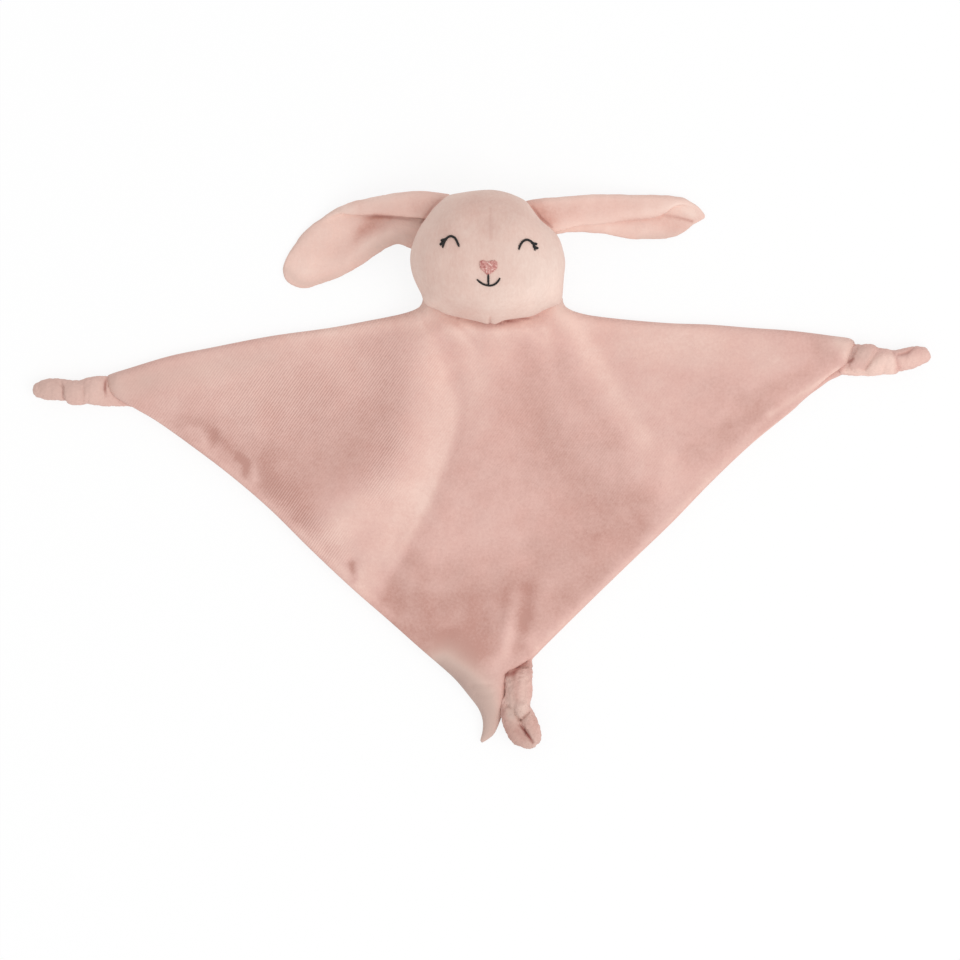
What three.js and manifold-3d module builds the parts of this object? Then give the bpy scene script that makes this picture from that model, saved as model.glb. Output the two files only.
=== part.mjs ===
/**
 * Comfort blanket with a rabbit head. A square cloth of two velour layers is folded corner to corner,
 * a stuffed head is sewn at the middle of the fold, and three corners are knotted.
 *
 * Millimetres. X runs to the viewer's right, Y from the neck to the crown and Z up from the surface that
 * the blanket lies on. The origin is on that surface, under the neck.
 */
import * as THREE from 'three';
import { mergeVertices } from 'three/addons/utils/BufferGeometryUtils.js';
import Module from 'manifold-3d';

const wasm = await Module();
wasm.setup();

// Velour and the clearance between pieces that lie against each other. The cloth is two layers thick.
const velour = 1.5;
const clearance = 0.3;
const clothThickness = 2 * velour + clearance;
const overrun = 5;

// Cloth: the neck is at the origin, and the line between the two side knots divides the yoke from the flaps.
const leftWing = 190;
const rightWing = 182;
const clothDrop = 176;
const knotLineLeft = 36.5;
const knotLineRight = 16;
const foldHollow = 0.5;
const foldRadius = clothThickness + foldHollow;
const neckPlump = 4.2;
const neckFoldRadius = foldRadius + neckPlump;
const neckSpread = 44;
const foldReach = 9;
const hemTop = 2 * clothThickness + clearance + foldHollow;
const columnCrowding = 1.35;
const clothColumns = 20;
const frontRows = 8;
const rearRows = 2;

// The edge where the cloth is folded, from the left wing over the neck to the right wing.
const foldLineShares = [
  [-1, -0.156], [-0.785, -0.097], [-0.576, -0.054], [-0.366, -0.017], [-0.23, 0.016], [-0.165, 0.05],
  [0, 0.06], [0.18, 0.05], [0.25, 0.019], [0.385, -0.006], [0.714, -0.028], [1, -0.06],
];
// The lower hem, from the left wing over the bottom to the right wing.
const hemShares = [
  [-1, -0.25], [-0.947, -0.256], [-0.895, -0.278], [-0.789, -0.361], [-0.632, -0.491], [-0.526, -0.599],
  [-0.316, -0.815], [-0.113, -1], [0.1, -1], [0.165, -0.912], [0.275, -0.798], [0.495, -0.58],
  [0.604, -0.463], [0.714, -0.355], [0.824, -0.264], [0.934, -0.176], [1, -0.162],
];

// Main folds of the front cloth: from x, y to x, y in shares of the wings and the drop, with the share of
// the fold's height and of its width. A negative height is a valley.
const pleatHeight = 8;
const pleatWidth = 13;
const pleatShares = [
  [-0.17, -0.09, -0.108, -0.31, 0.85, 1],
  [-0.108, -0.31, -0.33, -0.61, 1, 1],
  [-0.33, -0.61, -0.3, -0.76, 0.5, 1],
  [0.12, -0.14, 0.225, -0.33, -0.5, 1],
  [0.225, -0.33, 0.31, -0.55, -0.35, 1],
  [0.225, -0.01, 0.39, -0.27, 0.6, 1.1],
  [0.39, -0.27, 0.495, -0.48, 0.45, 1.1],
  [0.02, -0.26, 0.05, -0.66, 0.45, 1.8],
  [0.04, -0.8, 0.04, -0.96, 0.45, 0.7],
  [-0.75, -0.2, -0.4, -0.13, 0.25, 1.3],
  [-0.62, -0.42, -0.5, -0.3, 0.2, 1.2],
  [0.5, -0.12, 0.85, -0.1, 0.3, 1],
];
const neckPuffHeight = 5;
const neckPuffWidth = 30;
const neckPuffDepth = 15;
const hemPleatShare = 0.3;

// Head: a swelling form that lies on its back. The widest place is above the chin, and the back is cut flat.
const headWidth = 77;
const headDepth = 55;
const headLeft = 39.7;
const chinReach = 3.5;
const cheekHeight = 27;
const crownReach = 64.5;
const headRoundness = 2.25;
const restCut = 0.5;
const sideSeamShare = 0.46;

// Embroidery on the face.
const thread = 1.1;
const eyeWidth = 8.2;
const eyeRise = 5;
const eyeSpacing = 38.2;
const eyeHeight = 36;
const eyeLevelDrop = 1.7;
const lashLength = 3.2;
// Each lash: the step of the lid's arc that it starts from, and its reach out and up in shares of its length.
const lashShares = [[1, 0.8, 0.5], [3, 0.2, 0.1]];
const noseWidth = 9.2;
const noseHeight = 6;
const noseTop = 28.8;
const noseThickness = 1.2;
const mouthDrop = 5.6;
const mouthWidth = 11.5;
const mouthRise = 3.2;
const faceCentre = 0.7;
const faceShift = 1.4;

// Ears: flat at the lower edge, rolled over along the upper one.
const earRootHeight = 17;
const earFoldRadius = 4.6;
const earTipRadiusShare = 0.8;
const earFoldTurn = Math.PI * 0.98;
const earTipTurn = Math.PI * 0.3;
// Where along an ear, as a share of it, the fold is open, the flap ends and the ear lies on the surface.
const earOpenShare = 0.87;
const earFlapShare = 0.91;
const earDropShare = 0.62;
const earStations = 10;
const earHeight = 103;
const leftEarReach = 103;
const leftEarWidth = 27;
const leftEarFlap = 9;
const rightEarReach = 106;
const rightEarWidth = 19;
const rightEarFlap = 9;

// Width of an ear along its length, and its middle line in shares of its reach and of its height.
const earWidthShares = [[0, 0.62], [0.15, 0.72], [0.35, 0.88], [0.6, 1], [0.8, 0.92], [0.92, 0.66], [1, 0.22]];
const leftMiddleShares = [[-0.19, 0.475], [-0.4, 0.465], [-0.6, 0.42], [-0.8, 0.325], [-0.99, 0.22]];
const rightMiddleShares = [[0.17, 0.49], [0.4, 0.492], [0.6, 0.492], [0.8, 0.487], [0.99, 0.49]];

// Knots and the loose corner.
const leftKnotLength = 38;
const rightKnotLength = 38;
const rearKnotLength = 39;
const knotWidth = 15;
const knotHeight = 15;
const rearKnotWidth = 15;
const rearKnotHeight = 16;
const cornerLength = 35.5;
const cornerWidth = 27.5;
const cornerHeight = 12;
const bottomSplit = 7;
const cornerGap = 1.2;
const cornerX = bottomSplit - cornerGap - cornerWidth / 2;
const rearKnotX = bottomSplit + clearance + rearKnotWidth / 2;

// Stations of each corner: share of the length, sideways, width and height.
const sideKnotShares = [
  [0, 0, 1, 0.62], [0.14, 0, 1.02, 0.84], [0.27, 0, 0.86, 0.72], [0.34, 0, 0.94, 0.98], [0.48, 0.02, 0.84, 0.95],
  [0.57, 0.03, 0.6, 0.52], [0.72, 0.05, 0.72, 0.66], [0.9, 0.08, 0.6, 0.58], [1, 0.1, 0.26, 0.36],
];
const rearKnotShares = [
  [0, 0, 0.9, 0.55], [0.2, 0.02, 0.95, 0.9], [0.42, 0.02, 0.92, 1], [0.55, 0.06, 0.8, 0.66],
  [0.68, 0.1, 0.98, 0.86], [0.88, 0.16, 0.96, 0.72], [1, 0.18, 0.5, 0.4],
];
const cornerShares = [
  [0, 0, 1, 0.6], [0.15, 0.09, 0.84, 0.85], [0.35, 0.21, 0.62, 1], [0.6, 0.3, 0.4, 0.95],
  [0.82, 0.28, 0.28, 0.8], [1, 0.16, 0.1, 0.45],
];
const cornerRoundShare = 1.15;

// Neck: gathered cloth inside the fold, drawn together by a thread.
const neckWidth = 28;
const neckSlack = 2.8;
const neckHeight = 2 * (neckFoldRadius - clothThickness - clearance) - neckSlack;
const neckLength = 12;
const neckThread = 1;

const dustyPink = 0xdcb4aa;
const palePink = 0xe8cabd;
const earPink = 0xe6c2b6;
const liningPink = 0xd9aea3;
const charcoal = 0x2b2624;
const dustyRose = 0xc98f88;
const fillingWhite = 0xf0ece6;

const lovey = new THREE.Group();

function addPiece(name, geometry, color, roughness = 0.95) {
  const mesh = new THREE.Mesh(geometry, new THREE.MeshStandardMaterial({ color, roughness, metalness: 0 }));
  mesh.name = name;
  lovey.add(mesh);
  return mesh;
}

/** Smooth step from 0 to 1. */
function ease(value) {
  const held = THREE.MathUtils.clamp(value, 0, 1);
  return held * held * (3 - 2 * held);
}

/** A smooth curve through [x, y] points in rising x, as a function of x. */
function smoothLine(points) {
  const slopes = points.map((point, i) => {
    const before = points[Math.max(i - 1, 0)];
    const after = points[Math.min(i + 1, points.length - 1)];
    return (after[1] - before[1]) / (after[0] - before[0]);
  });
  return (x) => {
    const last = points.length - 2;
    const found = points.findIndex((point) => point[0] > x) - 1;
    const i = THREE.MathUtils.clamp(found < 0 && x > points[0][0] ? last : found, 0, last);
    const [x0, y0] = points[i];
    const [x1, y1] = points[i + 1];
    const span = x1 - x0;
    const t = THREE.MathUtils.clamp((x - x0) / span, 0, 1);
    const start = (1 + 2 * t) * (1 - t) ** 2 * y0 + t ** 2 * (3 - 2 * t) * y1;
    return start + span * (t * (1 - t) ** 2 * slopes[i] - t ** 2 * (1 - t) * slopes[i + 1]);
  };
}

function wingAt(share) {
  return share * (share < 0 ? leftWing : rightWing);
}

const foldLine = smoothLine(foldLineShares.map(([x, y]) => [wingAt(x), y * clothDrop]));
const hemCurve = smoothLine(hemShares.map(([x, y]) => [wingAt(x), y * clothDrop]));

/** The lower hem, cut straight above the rear knot and the loose corner. */
function hem(x) {
  return Math.max(hemCurve(x), -clothDrop);
}

/** The straight line between the two side knots, where the flaps turn. */
function knotLine(x) {
  return THREE.MathUtils.mapLinear(x, -leftWing, rightWing, -knotLineLeft, -knotLineRight);
}

/** Height of a rounded ridge along a line, at x, y. */
function ridge(x, y, [fromX, fromY, toX, toY, heightShare, widthShare]) {
  const start = new THREE.Vector3(wingAt(fromX), fromY * clothDrop, 0);
  const end = new THREE.Vector3(wingAt(toX), toY * clothDrop, 0);
  const near = new THREE.Vector3();
  new THREE.Line3(start, end).closestPointToPoint(new THREE.Vector3(x, y, 0), true, near);
  const away = near.distanceTo(new THREE.Vector3(x, y, 0)) / (pleatWidth * widthShare);
  return pleatHeight * heightShare * Math.exp(-away * away);
}

function foldRadiusAt(x) {
  return foldRadius + (neckFoldRadius - foldRadius) * Math.exp(-((x / neckSpread) ** 4));
}

/** Top of the front cloth over the surface that the blanket lies on. */
function clothTop(x, y) {
  const radius = foldRadiusAt(x);
  const fromFold = Math.max(foldLine(x) - radius - y, 0);
  const fromHem = Math.max(y - hem(x), 0);
  const rolled = (2 * radius - hemTop) * Math.exp(-((fromFold / foldReach / 2) ** 2));
  const puff = neckPuffHeight * Math.exp(-((x / neckPuffWidth) ** 2) - ((fromFold / neckPuffDepth) ** 2));
  const pleats = pleatShares.reduce((sum, pleat) => sum + ridge(x, y, pleat), hemPleatShare * pleatHeight);
  const inside = ease(fromFold / foldReach) * (hemPleatShare + (1 - hemPleatShare) * ease(fromHem / foldReach / 2));
  return hemTop + rolled + puff * ease(fromFold / foldReach) + Math.max(pleats, 0) * inside;
}

/** Columns across the cloth, closer together at the neck. */
function columns(count, endGap) {
  return Array.from({ length: count + 1 }, (_, i) => {
    const share = (2 * i) / count - 1;
    const x = Math.sign(share) * Math.abs(share) ** columnCrowding;
    return x < 0 ? x * (leftWing - endGap) : x * (rightWing - endGap);
  });
}

function trianglesOf(geometry) {
  const bare = new THREE.BufferGeometry();
  bare.setAttribute('position', geometry.getAttribute('position'));
  bare.setIndex(geometry.getIndex());
  return mergeVertices(bare, 1e-4);
}

function toSolid(geometry) {
  const merged = trianglesOf(geometry);
  return new wasm.Manifold(new wasm.Mesh({
    numProp: 3,
    vertProperties: new Float32Array(merged.getAttribute('position').array),
    triVerts: new Uint32Array(merged.getIndex().array),
  }));
}

function toGeometry(solid) {
  const { vertProperties, triVerts } = solid.getMesh();
  const geometry = new THREE.BufferGeometry();
  geometry.setAttribute('position', new THREE.BufferAttribute(new Float32Array(vertProperties), 3));
  geometry.setIndex(new THREE.BufferAttribute(new Uint32Array(triVerts), 1));
  geometry.computeVertexNormals();
  return geometry;
}

/** A geometry from points and triangles, turned so that its faces point out. */
function closedGeometry(points, faces) {
  const volume = faces.reduce((sum, [a, b, c]) => {
    return sum + points[a].dot(new THREE.Vector3().crossVectors(points[b], points[c]));
  }, 0);
  const outward = volume < 0 ? faces.map(([a, b, c]) => [a, c, b]) : faces;
  const geometry = new THREE.BufferGeometry().setFromPoints(points);
  geometry.setIndex(outward.flat());
  geometry.computeVertexNormals();
  return geometry;
}

/** A sheet with a thickness: two grids of points, joined along their edges. */
function sheet(outer, inner) {
  const rows = outer.length;
  const cols = outer[0].length;
  const points = [...outer.flat(), ...inner.flat()];
  const at = (side, i, j) => side * rows * cols + i * cols + j;
  const faces = [];
  const quad = (a, b, c, d) => faces.push([a, b, c], [a, c, d]);
  for (let i = 0; i < rows - 1; i += 1) {
    for (let j = 0; j < cols - 1; j += 1) {
      quad(at(0, i, j), at(0, i, j + 1), at(0, i + 1, j + 1), at(0, i + 1, j));
      quad(at(1, i, j), at(1, i + 1, j), at(1, i + 1, j + 1), at(1, i, j + 1));
    }
    quad(at(0, i, 0), at(0, i + 1, 0), at(1, i + 1, 0), at(1, i, 0));
    quad(at(0, i, cols - 1), at(1, i, cols - 1), at(1, i + 1, cols - 1), at(0, i + 1, cols - 1));
  }
  for (let j = 0; j < cols - 1; j += 1) {
    quad(at(0, 0, j), at(1, 0, j), at(1, 0, j + 1), at(0, 0, j + 1));
    quad(at(0, rows - 1, j), at(0, rows - 1, j + 1), at(1, rows - 1, j + 1), at(1, rows - 1, j));
  }
  return closedGeometry(points, faces);
}

/** A closed form through rings of points, each ring with the same count. */
function loft(rings) {
  const count = rings[0].length;
  const middle = (ring) => ring.reduce((sum, p) => sum.add(p), new THREE.Vector3()).divideScalar(count);
  const points = [...rings.flat(), middle(rings[0]), middle(rings[rings.length - 1])];
  const startPoint = points.length - 2;
  const endPoint = points.length - 1;
  const faces = [];
  for (let j = 0; j < count; j += 1) {
    const next = (j + 1) % count;
    for (let i = 0; i < rings.length - 1; i += 1) {
      const [a, b] = [i * count + j, i * count + next];
      faces.push([a, b, b + count], [a, b + count, a + count]);
    }
    const lastRing = (rings.length - 1) * count;
    faces.push([startPoint, next, j], [endPoint, lastRing + j, lastRing + next]);
  }
  return closedGeometry(points, faces);
}

/** The yoke's cross-section at x: along the surface, round the fold and back over the front. */
function yokeSection(x, depth) {
  const radius = foldRadiusAt(x);
  const arcCentre = foldLine(x) - radius;
  const nearEdge = knotLine(x) + clearance / 2;
  const straightSteps = 3;
  const arcSteps = 5;
  const section = [];
  for (let i = 0; i < straightSteps; i += 1) {
    section.push(new THREE.Vector3(x, THREE.MathUtils.lerp(nearEdge, arcCentre, i / straightSteps), depth));
  }
  for (let i = 0; i <= arcSteps; i += 1) {
    const turn = Math.PI * (i / arcSteps - 0.5);
    const reach = radius - depth;
    section.push(new THREE.Vector3(x, arcCentre + reach * Math.cos(turn), radius + reach * Math.sin(turn)));
  }
  for (let i = 1; i <= straightSteps + 1; i += 1) {
    const y = THREE.MathUtils.lerp(arcCentre, nearEdge, i / (straightSteps + 1));
    section.push(new THREE.Vector3(x, y, clothTop(x, y) - depth));
  }
  return section;
}

function yokeLayer(depth) {
  const stations = columns(clothColumns, 0);
  const outer = stations.map((x) => yokeSection(x, depth));
  const inner = stations.map((x) => yokeSection(x, depth + velour));
  return sheet(outer, inner);
}

/** One layer of a flap between the knot line and the hem, from height(x, y) down by the velour. */
function flapLayer(height, rowCount) {
  const stations = columns(clothColumns, foldRadius / 2);
  const grid = (drop) => stations.map((x) => {
    return Array.from({ length: rowCount + 1 }, (_, j) => {
      const y = THREE.MathUtils.lerp(knotLine(x) - clearance / 2, hem(x), j / rowCount);
      return new THREE.Vector3(x, y, height(x, y) - drop);
    });
  });
  return sheet(grid(0), grid(velour));
}

const headCentreX = headWidth / 2 - headLeft;
const headCentreZ = headDepth / 2 - restCut;

/** The head's outer form, grown by a margin on every side. */
function headForm(margin) {
  const geometry = new THREE.SphereGeometry(1, 24, 14);
  const position = geometry.getAttribute('position');
  for (let i = 0; i < position.count; i += 1) {
    const across = Math.hypot(position.getX(i), position.getZ(i));
    const turn = Math.atan2(position.getZ(i), position.getX(i));
    const even = (Math.abs(Math.cos(turn)) ** headRoundness + Math.abs(Math.sin(turn)) ** headRoundness)
      ** (-1 / headRoundness);
    const up = position.getY(i);
    const rise = up > 0 ? crownReach - cheekHeight : cheekHeight + chinReach;
    position.setXYZ(
      i,
      headCentreX + (headWidth / 2 + margin) * across * even * Math.cos(turn),
      cheekHeight + (rise + margin) * up,
      headCentreZ + (headDepth / 2 + margin) * across * even * Math.sin(turn),
    );
  }
  return toSolid(geometry);
}

/** Height of the face over the surface, at x, y. */
function faceTop(x, y) {
  const rise = y > cheekHeight ? crownReach - cheekHeight : cheekHeight + chinReach;
  const across = Math.sqrt(Math.max(1 - ((y - cheekHeight) / rise) ** 2, 0));
  const side = Math.min(Math.abs(x - headCentreX) / (headWidth / 2) / across, 1);
  return headCentreZ + (headDepth / 2) * across * (1 - side ** headRoundness) ** (1 / headRoundness);
}

/** A block between two corners, for cutting. */
function block(low, high) {
  const size = new THREE.Vector3().subVectors(high, low);
  const geometry = new THREE.BoxGeometry(size.x, size.y, size.z);
  geometry.translate((low.x + high.x) / 2, (low.y + high.y) / 2, (low.z + high.z) / 2);
  return toSolid(geometry);
}

function makeHead() {
  const side = headWidth + overrun;
  const seamHeight = headDepth * sideSeamShare;
  const above = block(new THREE.Vector3(-side, -side, 0), new THREE.Vector3(side, side, side));
  const cover = headForm(0).intersect(above).subtract(headForm(-velour).intersect(
    block(new THREE.Vector3(-side, -side, velour), new THREE.Vector3(side, side, side)),
  ));
  const leftFront = block(
    new THREE.Vector3(-side, -side, seamHeight + clearance / 2),
    new THREE.Vector3(faceCentre - clearance / 2, side, side),
  );
  const rightFront = block(
    new THREE.Vector3(faceCentre + clearance / 2, -side, seamHeight + clearance / 2),
    new THREE.Vector3(side, side, side),
  );
  const back = block(
    new THREE.Vector3(-side, -side, -overrun),
    new THREE.Vector3(side, side, seamHeight - clearance / 2),
  );
  const filling = headForm(-velour - clearance).intersect(block(
    new THREE.Vector3(-side, -side, velour + clearance),
    new THREE.Vector3(side, side, side),
  ));
  addPiece('head_face_left', toGeometry(cover.intersect(leftFront)), palePink);
  addPiece('head_face_right', toGeometry(cover.intersect(rightFront)), palePink);
  addPiece('head_back', toGeometry(cover.intersect(back)), palePink);
  addPiece('head_stuffing', toGeometry(filling), fillingWhite);
}

/** A thread laid on the face through [x, y] points. */
function faceThread(points) {
  const lift = clearance + thread / 2;
  const route = points.map(([x, y]) => new THREE.Vector3(x, y, faceTop(x, y) + lift));
  const section = new THREE.Shape();
  section.absarc(0, 0, thread / 2, 0, 2 * Math.PI, false);
  return toSolid(new THREE.ExtrudeGeometry(section, {
    steps: 2 * points.length,
    curveSegments: 3,
    bevelEnabled: false,
    extrudePath: new THREE.CatmullRomCurve3(route),
  }));
}

/** Points of a shallow arc between two ends, bulging up by a rise that may be negative. */
function bow(fromX, toX, y, rise, tilt) {
  return Array.from({ length: 5 }, (_, i) => {
    const t = i / 4;
    return [THREE.MathUtils.lerp(fromX, toX, t), y + rise * 4 * t * (1 - t) + tilt * (t - 1 / 2)];
  });
}

function makeEye(name, centreX, centreY, outward) {
  const half = eyeWidth / 2;
  const lid = bow(centreX - half, centreX + half, centreY - eyeRise / 2, eyeRise, 0);
  const lashes = lashShares.map(([step, outShare, upShare]) => {
    const [x, y] = lid[outward < 0 ? step : lid.length - 1 - step];
    return [[x, y], [x + outward * lashLength * outShare, y + lashLength * upShare]];
  });
  const solid = lashes.reduce((sum, lash) => sum.add(faceThread(lash)), faceThread(lid));
  addPiece(name, toGeometry(solid), charcoal, 0.6);
}

function makeFace() {
  const half = eyeSpacing / 2;
  makeEye('left_eye', -faceShift - half, eyeHeight + eyeLevelDrop / 2, -1);
  makeEye('right_eye', -faceShift + half, eyeHeight - eyeLevelDrop / 2, 1);

  const corner = noseWidth / 4;
  const outline = new THREE.Shape();
  outline.moveTo(-noseWidth / 2, 0);
  outline.quadraticCurveTo(-noseWidth / 2, corner, 0, corner / 2);
  outline.quadraticCurveTo(noseWidth / 2, corner, noseWidth / 2, 0);
  outline.quadraticCurveTo(corner, -noseHeight + corner, 0, -noseHeight + corner);
  outline.quadraticCurveTo(-corner, -noseHeight + corner, -noseWidth / 2, 0);
  const prism = new THREE.ExtrudeGeometry(outline, { depth: headDepth, curveSegments: 5, bevelEnabled: false });
  prism.translate(-faceShift + faceCentre / 2, noseTop - corner, headCentreZ);
  const band = headForm(clearance + noseThickness).subtract(headForm(clearance));
  addPiece('nose', toGeometry(toSolid(prism).intersect(band)), dustyRose, 0.5);

  const mouthX = -faceShift + faceCentre;
  const mouthTop = noseTop - noseHeight - 2 * clearance - thread;
  const line = faceThread([[mouthX, mouthTop], [mouthX, mouthTop - mouthDrop]]);
  const smile = bow(mouthX - mouthWidth / 2, mouthX + mouthWidth / 2, mouthTop - mouthDrop + mouthRise, -mouthRise, 0);
  addPiece('mouth', toGeometry(line.add(faceThread(smile))), charcoal, 0.6);
}

/**
 * An ear: from root to tip along a bent middle line, each cross-section flat from its lower edge and
 * rolled over at its upper edge. Two nested panels come from two depths of the same section.
 */
function earSection(ear, t, depth) {
  const middle = ear.middle.getPoint(t);
  const along = ear.middle.getTangent(t);
  const up = new THREE.Vector3(-along.y, along.x, 0).multiplyScalar(ear.upward);
  const width = ear.width * ear.widthLine(t);
  const radius = earFoldRadius * THREE.MathUtils.lerp(1, earTipRadiusShare, t);
  const turn = THREE.MathUtils.lerp(earFoldTurn, earTipTurn, ease(t / earOpenShare));
  const flap = ear.flap * (1 - ease(t / earFlapShare)) + radius / 4;
  const base = earRootHeight * (1 - ease(t / earDropShare)) + clothThickness;
  const flatEnd = Math.max(width / 2 - radius, -width / 4);
  const section = [];
  const place = (a, height) => section.push(middle.clone().addScaledVector(up, a).setZ(height));
  for (let i = 0; i < 3; i += 1) {
    place(THREE.MathUtils.lerp(-width / 2, flatEnd, i / 3), base - depth);
  }
  for (let i = 0; i <= 4; i += 1) {
    const angle = (turn * i) / 4;
    place(flatEnd + (radius + depth) * Math.sin(angle), base + radius - (radius + depth) * Math.cos(angle));
  }
  const lip = flatEnd + (radius + depth) * Math.sin(turn) + flap * Math.cos(turn);
  place(lip, base + radius - (radius + depth) * Math.cos(turn) + flap * Math.sin(turn));
  return section;
}

function makeEar(side, ear) {
  const stations = Array.from({ length: earStations + 1 }, (_, i) => i / earStations);
  const panel = (outside, inside) => {
    const outer = stations.map((t) => earSection(ear, t, outside));
    const inner = stations.map((t) => earSection(ear, t, inside));
    return toSolid(sheet(outer, inner)).subtract(headForm(clearance));
  };
  const back = panel(clothThickness, velour + clearance);
  const front = panel(velour, 0);
  addPiece(`${side}_ear_back`, toGeometry(back), earPink);
  addPiece(`${side}_ear_front`, toGeometry(front), earPink);
}

function makeEars() {
  const place = (shares, reach) => new THREE.CatmullRomCurve3(
    shares.map(([x, y]) => new THREE.Vector3(x * reach, y * earHeight, 0)),
  );
  makeEar('left', {
    middle: place(leftMiddleShares, leftEarReach),
    width: leftEarWidth,
    flap: leftEarFlap,
    upward: -1,
    widthLine: smoothLine(earWidthShares),
  });
  makeEar('right', {
    middle: place(rightMiddleShares, rightEarReach),
    width: rightEarWidth,
    flap: rightEarFlap,
    upward: 1,
    widthLine: smoothLine(earWidthShares),
  });
}

/**
 * A tied or turned corner: flat underneath, through stations of [share of the length, sideways share of
 * the width, width share, height share].
 */
function cornerForm({ root, heading, length, width, height, shares, gap }) {
  const along = new THREE.Vector3(Math.cos(heading), Math.sin(heading), 0);
  const across = new THREE.Vector3(-along.y, along.x, 0);
  const sides = 12;
  const rings = shares.map(([alongShare, sideShare, widthShare, heightShare]) => {
    const centre = root.clone().addScaledVector(along, gap + alongShare * (length - gap));
    centre.addScaledVector(across, sideShare * width);
    return Array.from({ length: sides }, (_, i) => {
      const angle = (2 * Math.PI * (i + 1 / 2)) / sides;
      const rise = (heightShare * height) / 2;
      const point = centre.clone().addScaledVector(across, (widthShare * width * Math.cos(angle)) / 2);
      return point.setZ(Math.max(rise * (1 + Math.sin(angle) * cornerRoundShare), 0));
    });
  });
  return loft(rings);
}

function makeCorners() {
  const leftEnd = (foldLine(-leftWing) + hem(-leftWing)) / 2;
  const rightEnd = (foldLine(rightWing) + hem(rightWing)) / 2;
  const leftKnot = cornerForm({
    root: new THREE.Vector3(-leftWing, leftEnd, 0),
    heading: Math.PI,
    length: leftKnotLength,
    width: knotWidth,
    height: knotHeight,
    shares: sideKnotShares.map(([along, side, wide, high]) => [along, -side, wide, high]),
    gap: clearance,
  });
  const rightKnot = cornerForm({
    root: new THREE.Vector3(rightWing, rightEnd, 0),
    heading: 0,
    length: rightKnotLength,
    width: knotWidth,
    height: knotHeight,
    shares: sideKnotShares,
    gap: clearance,
  });
  const rearKnot = cornerForm({
    root: new THREE.Vector3(rearKnotX, -clothDrop, 0),
    heading: -Math.PI / 2,
    length: rearKnotLength,
    width: rearKnotWidth,
    height: rearKnotHeight,
    shares: rearKnotShares,
    gap: clearance,
  });
  const frontCorner = cornerForm({
    root: new THREE.Vector3(cornerX, -clothDrop, 0),
    heading: -Math.PI / 2,
    length: cornerLength,
    width: cornerWidth,
    height: cornerHeight,
    shares: cornerShares,
    gap: clearance,
  });
  addPiece('left_knot', leftKnot, dustyPink);
  addPiece('right_knot', rightKnot, dustyPink);
  addPiece('rear_knot', rearKnot, dustyPink);
  addPiece('front_corner', frontCorner, dustyPink);
}

function makeNeck() {
  const waist = neckThread + clearance;
  const half = neckHeight / 2;
  const profile = [
    [0, -neckLength / 2], [half, -neckLength / 2], [half, -waist], [half - waist, -waist],
    [half - waist, waist], [half, waist], [half, neckLength / 2], [0, neckLength / 2],
  ].map(([radius, y]) => new THREE.Vector2(radius, y));
  const wide = neckWidth / neckHeight;
  const middleY = -neckLength / 2;
  const middleZ = clothThickness + clearance + half;
  const gather = new THREE.LatheGeometry(profile, 16).scale(wide, 1, 1).translate(0, middleY, middleZ);
  addPiece('neck_gather', toGeometry(toSolid(gather).subtract(headForm(clearance))), liningPink);

  const ringRadius = half - neckThread / 2;
  const ring = new THREE.TorusGeometry(ringRadius, neckThread / 2, 8, 16).rotateX(Math.PI / 2);
  const wideRing = ring.scale((neckWidth / 2) / half, 1, 1).translate(0, middleY, middleZ);
  addPiece('neck_thread', wideRing, liningPink, 0.7);
}

function makeCloth() {
  const room = headForm(clearance);
  const liningDepth = velour + clearance;
  addPiece('yoke_outer', toGeometry(toSolid(yokeLayer(0)).subtract(room)), dustyPink);
  addPiece('yoke_lining', toGeometry(toSolid(yokeLayer(liningDepth)).subtract(room)), liningPink);
  addPiece('front_flap_outer', flapLayer((x, y) => clothTop(x, y), frontRows), dustyPink);
  addPiece('front_flap_lining', flapLayer((x, y) => clothTop(x, y) - liningDepth, frontRows), liningPink);
  addPiece('rear_flap_lining', flapLayer(() => clothThickness, rearRows), liningPink);
  addPiece('rear_flap_outer', flapLayer(() => velour, rearRows), dustyPink);
}

makeHead();
makeFace();
makeEars();
makeNeck();
makeCloth();
makeCorners();

export default lovey;
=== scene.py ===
"""Comfort blanket with a rabbit head: a folded velour cloth with knotted corners, seen from above.

Metres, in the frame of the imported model: X to the viewer's right, Y from the neck to the crown, Z up from
the surface that the blanket lies on.
"""

import math

import bpy
import numpy as np
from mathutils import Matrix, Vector, geometry, noise
from mathutils.bvhtree import BVHTree


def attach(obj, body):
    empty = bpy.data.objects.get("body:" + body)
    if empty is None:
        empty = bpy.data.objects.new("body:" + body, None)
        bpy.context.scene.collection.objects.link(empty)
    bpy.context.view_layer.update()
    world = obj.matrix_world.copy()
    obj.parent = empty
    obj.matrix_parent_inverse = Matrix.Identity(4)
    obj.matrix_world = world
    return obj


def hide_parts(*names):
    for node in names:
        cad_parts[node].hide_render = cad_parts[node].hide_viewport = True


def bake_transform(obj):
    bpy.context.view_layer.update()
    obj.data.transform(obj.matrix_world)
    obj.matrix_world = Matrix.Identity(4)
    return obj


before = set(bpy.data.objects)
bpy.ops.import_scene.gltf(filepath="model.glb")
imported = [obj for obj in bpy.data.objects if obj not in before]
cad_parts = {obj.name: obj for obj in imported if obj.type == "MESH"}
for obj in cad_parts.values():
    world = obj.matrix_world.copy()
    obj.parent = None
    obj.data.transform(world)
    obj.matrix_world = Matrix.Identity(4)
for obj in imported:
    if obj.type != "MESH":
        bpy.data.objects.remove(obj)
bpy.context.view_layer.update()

# Cloth: the neck is at the origin, and the line between the side knots divides the yoke from the flaps.
LEFT_WING = 0.190
RIGHT_WING = 0.182
CLOTH_DROP = 0.176
LAYER = 0.0033
LAYER_GAP = 0.0003
FOLD_RADIUS = 0.0038
NECK_FOLD_RADIUS = 0.009
NECK_SPREAD = 0.044
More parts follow.
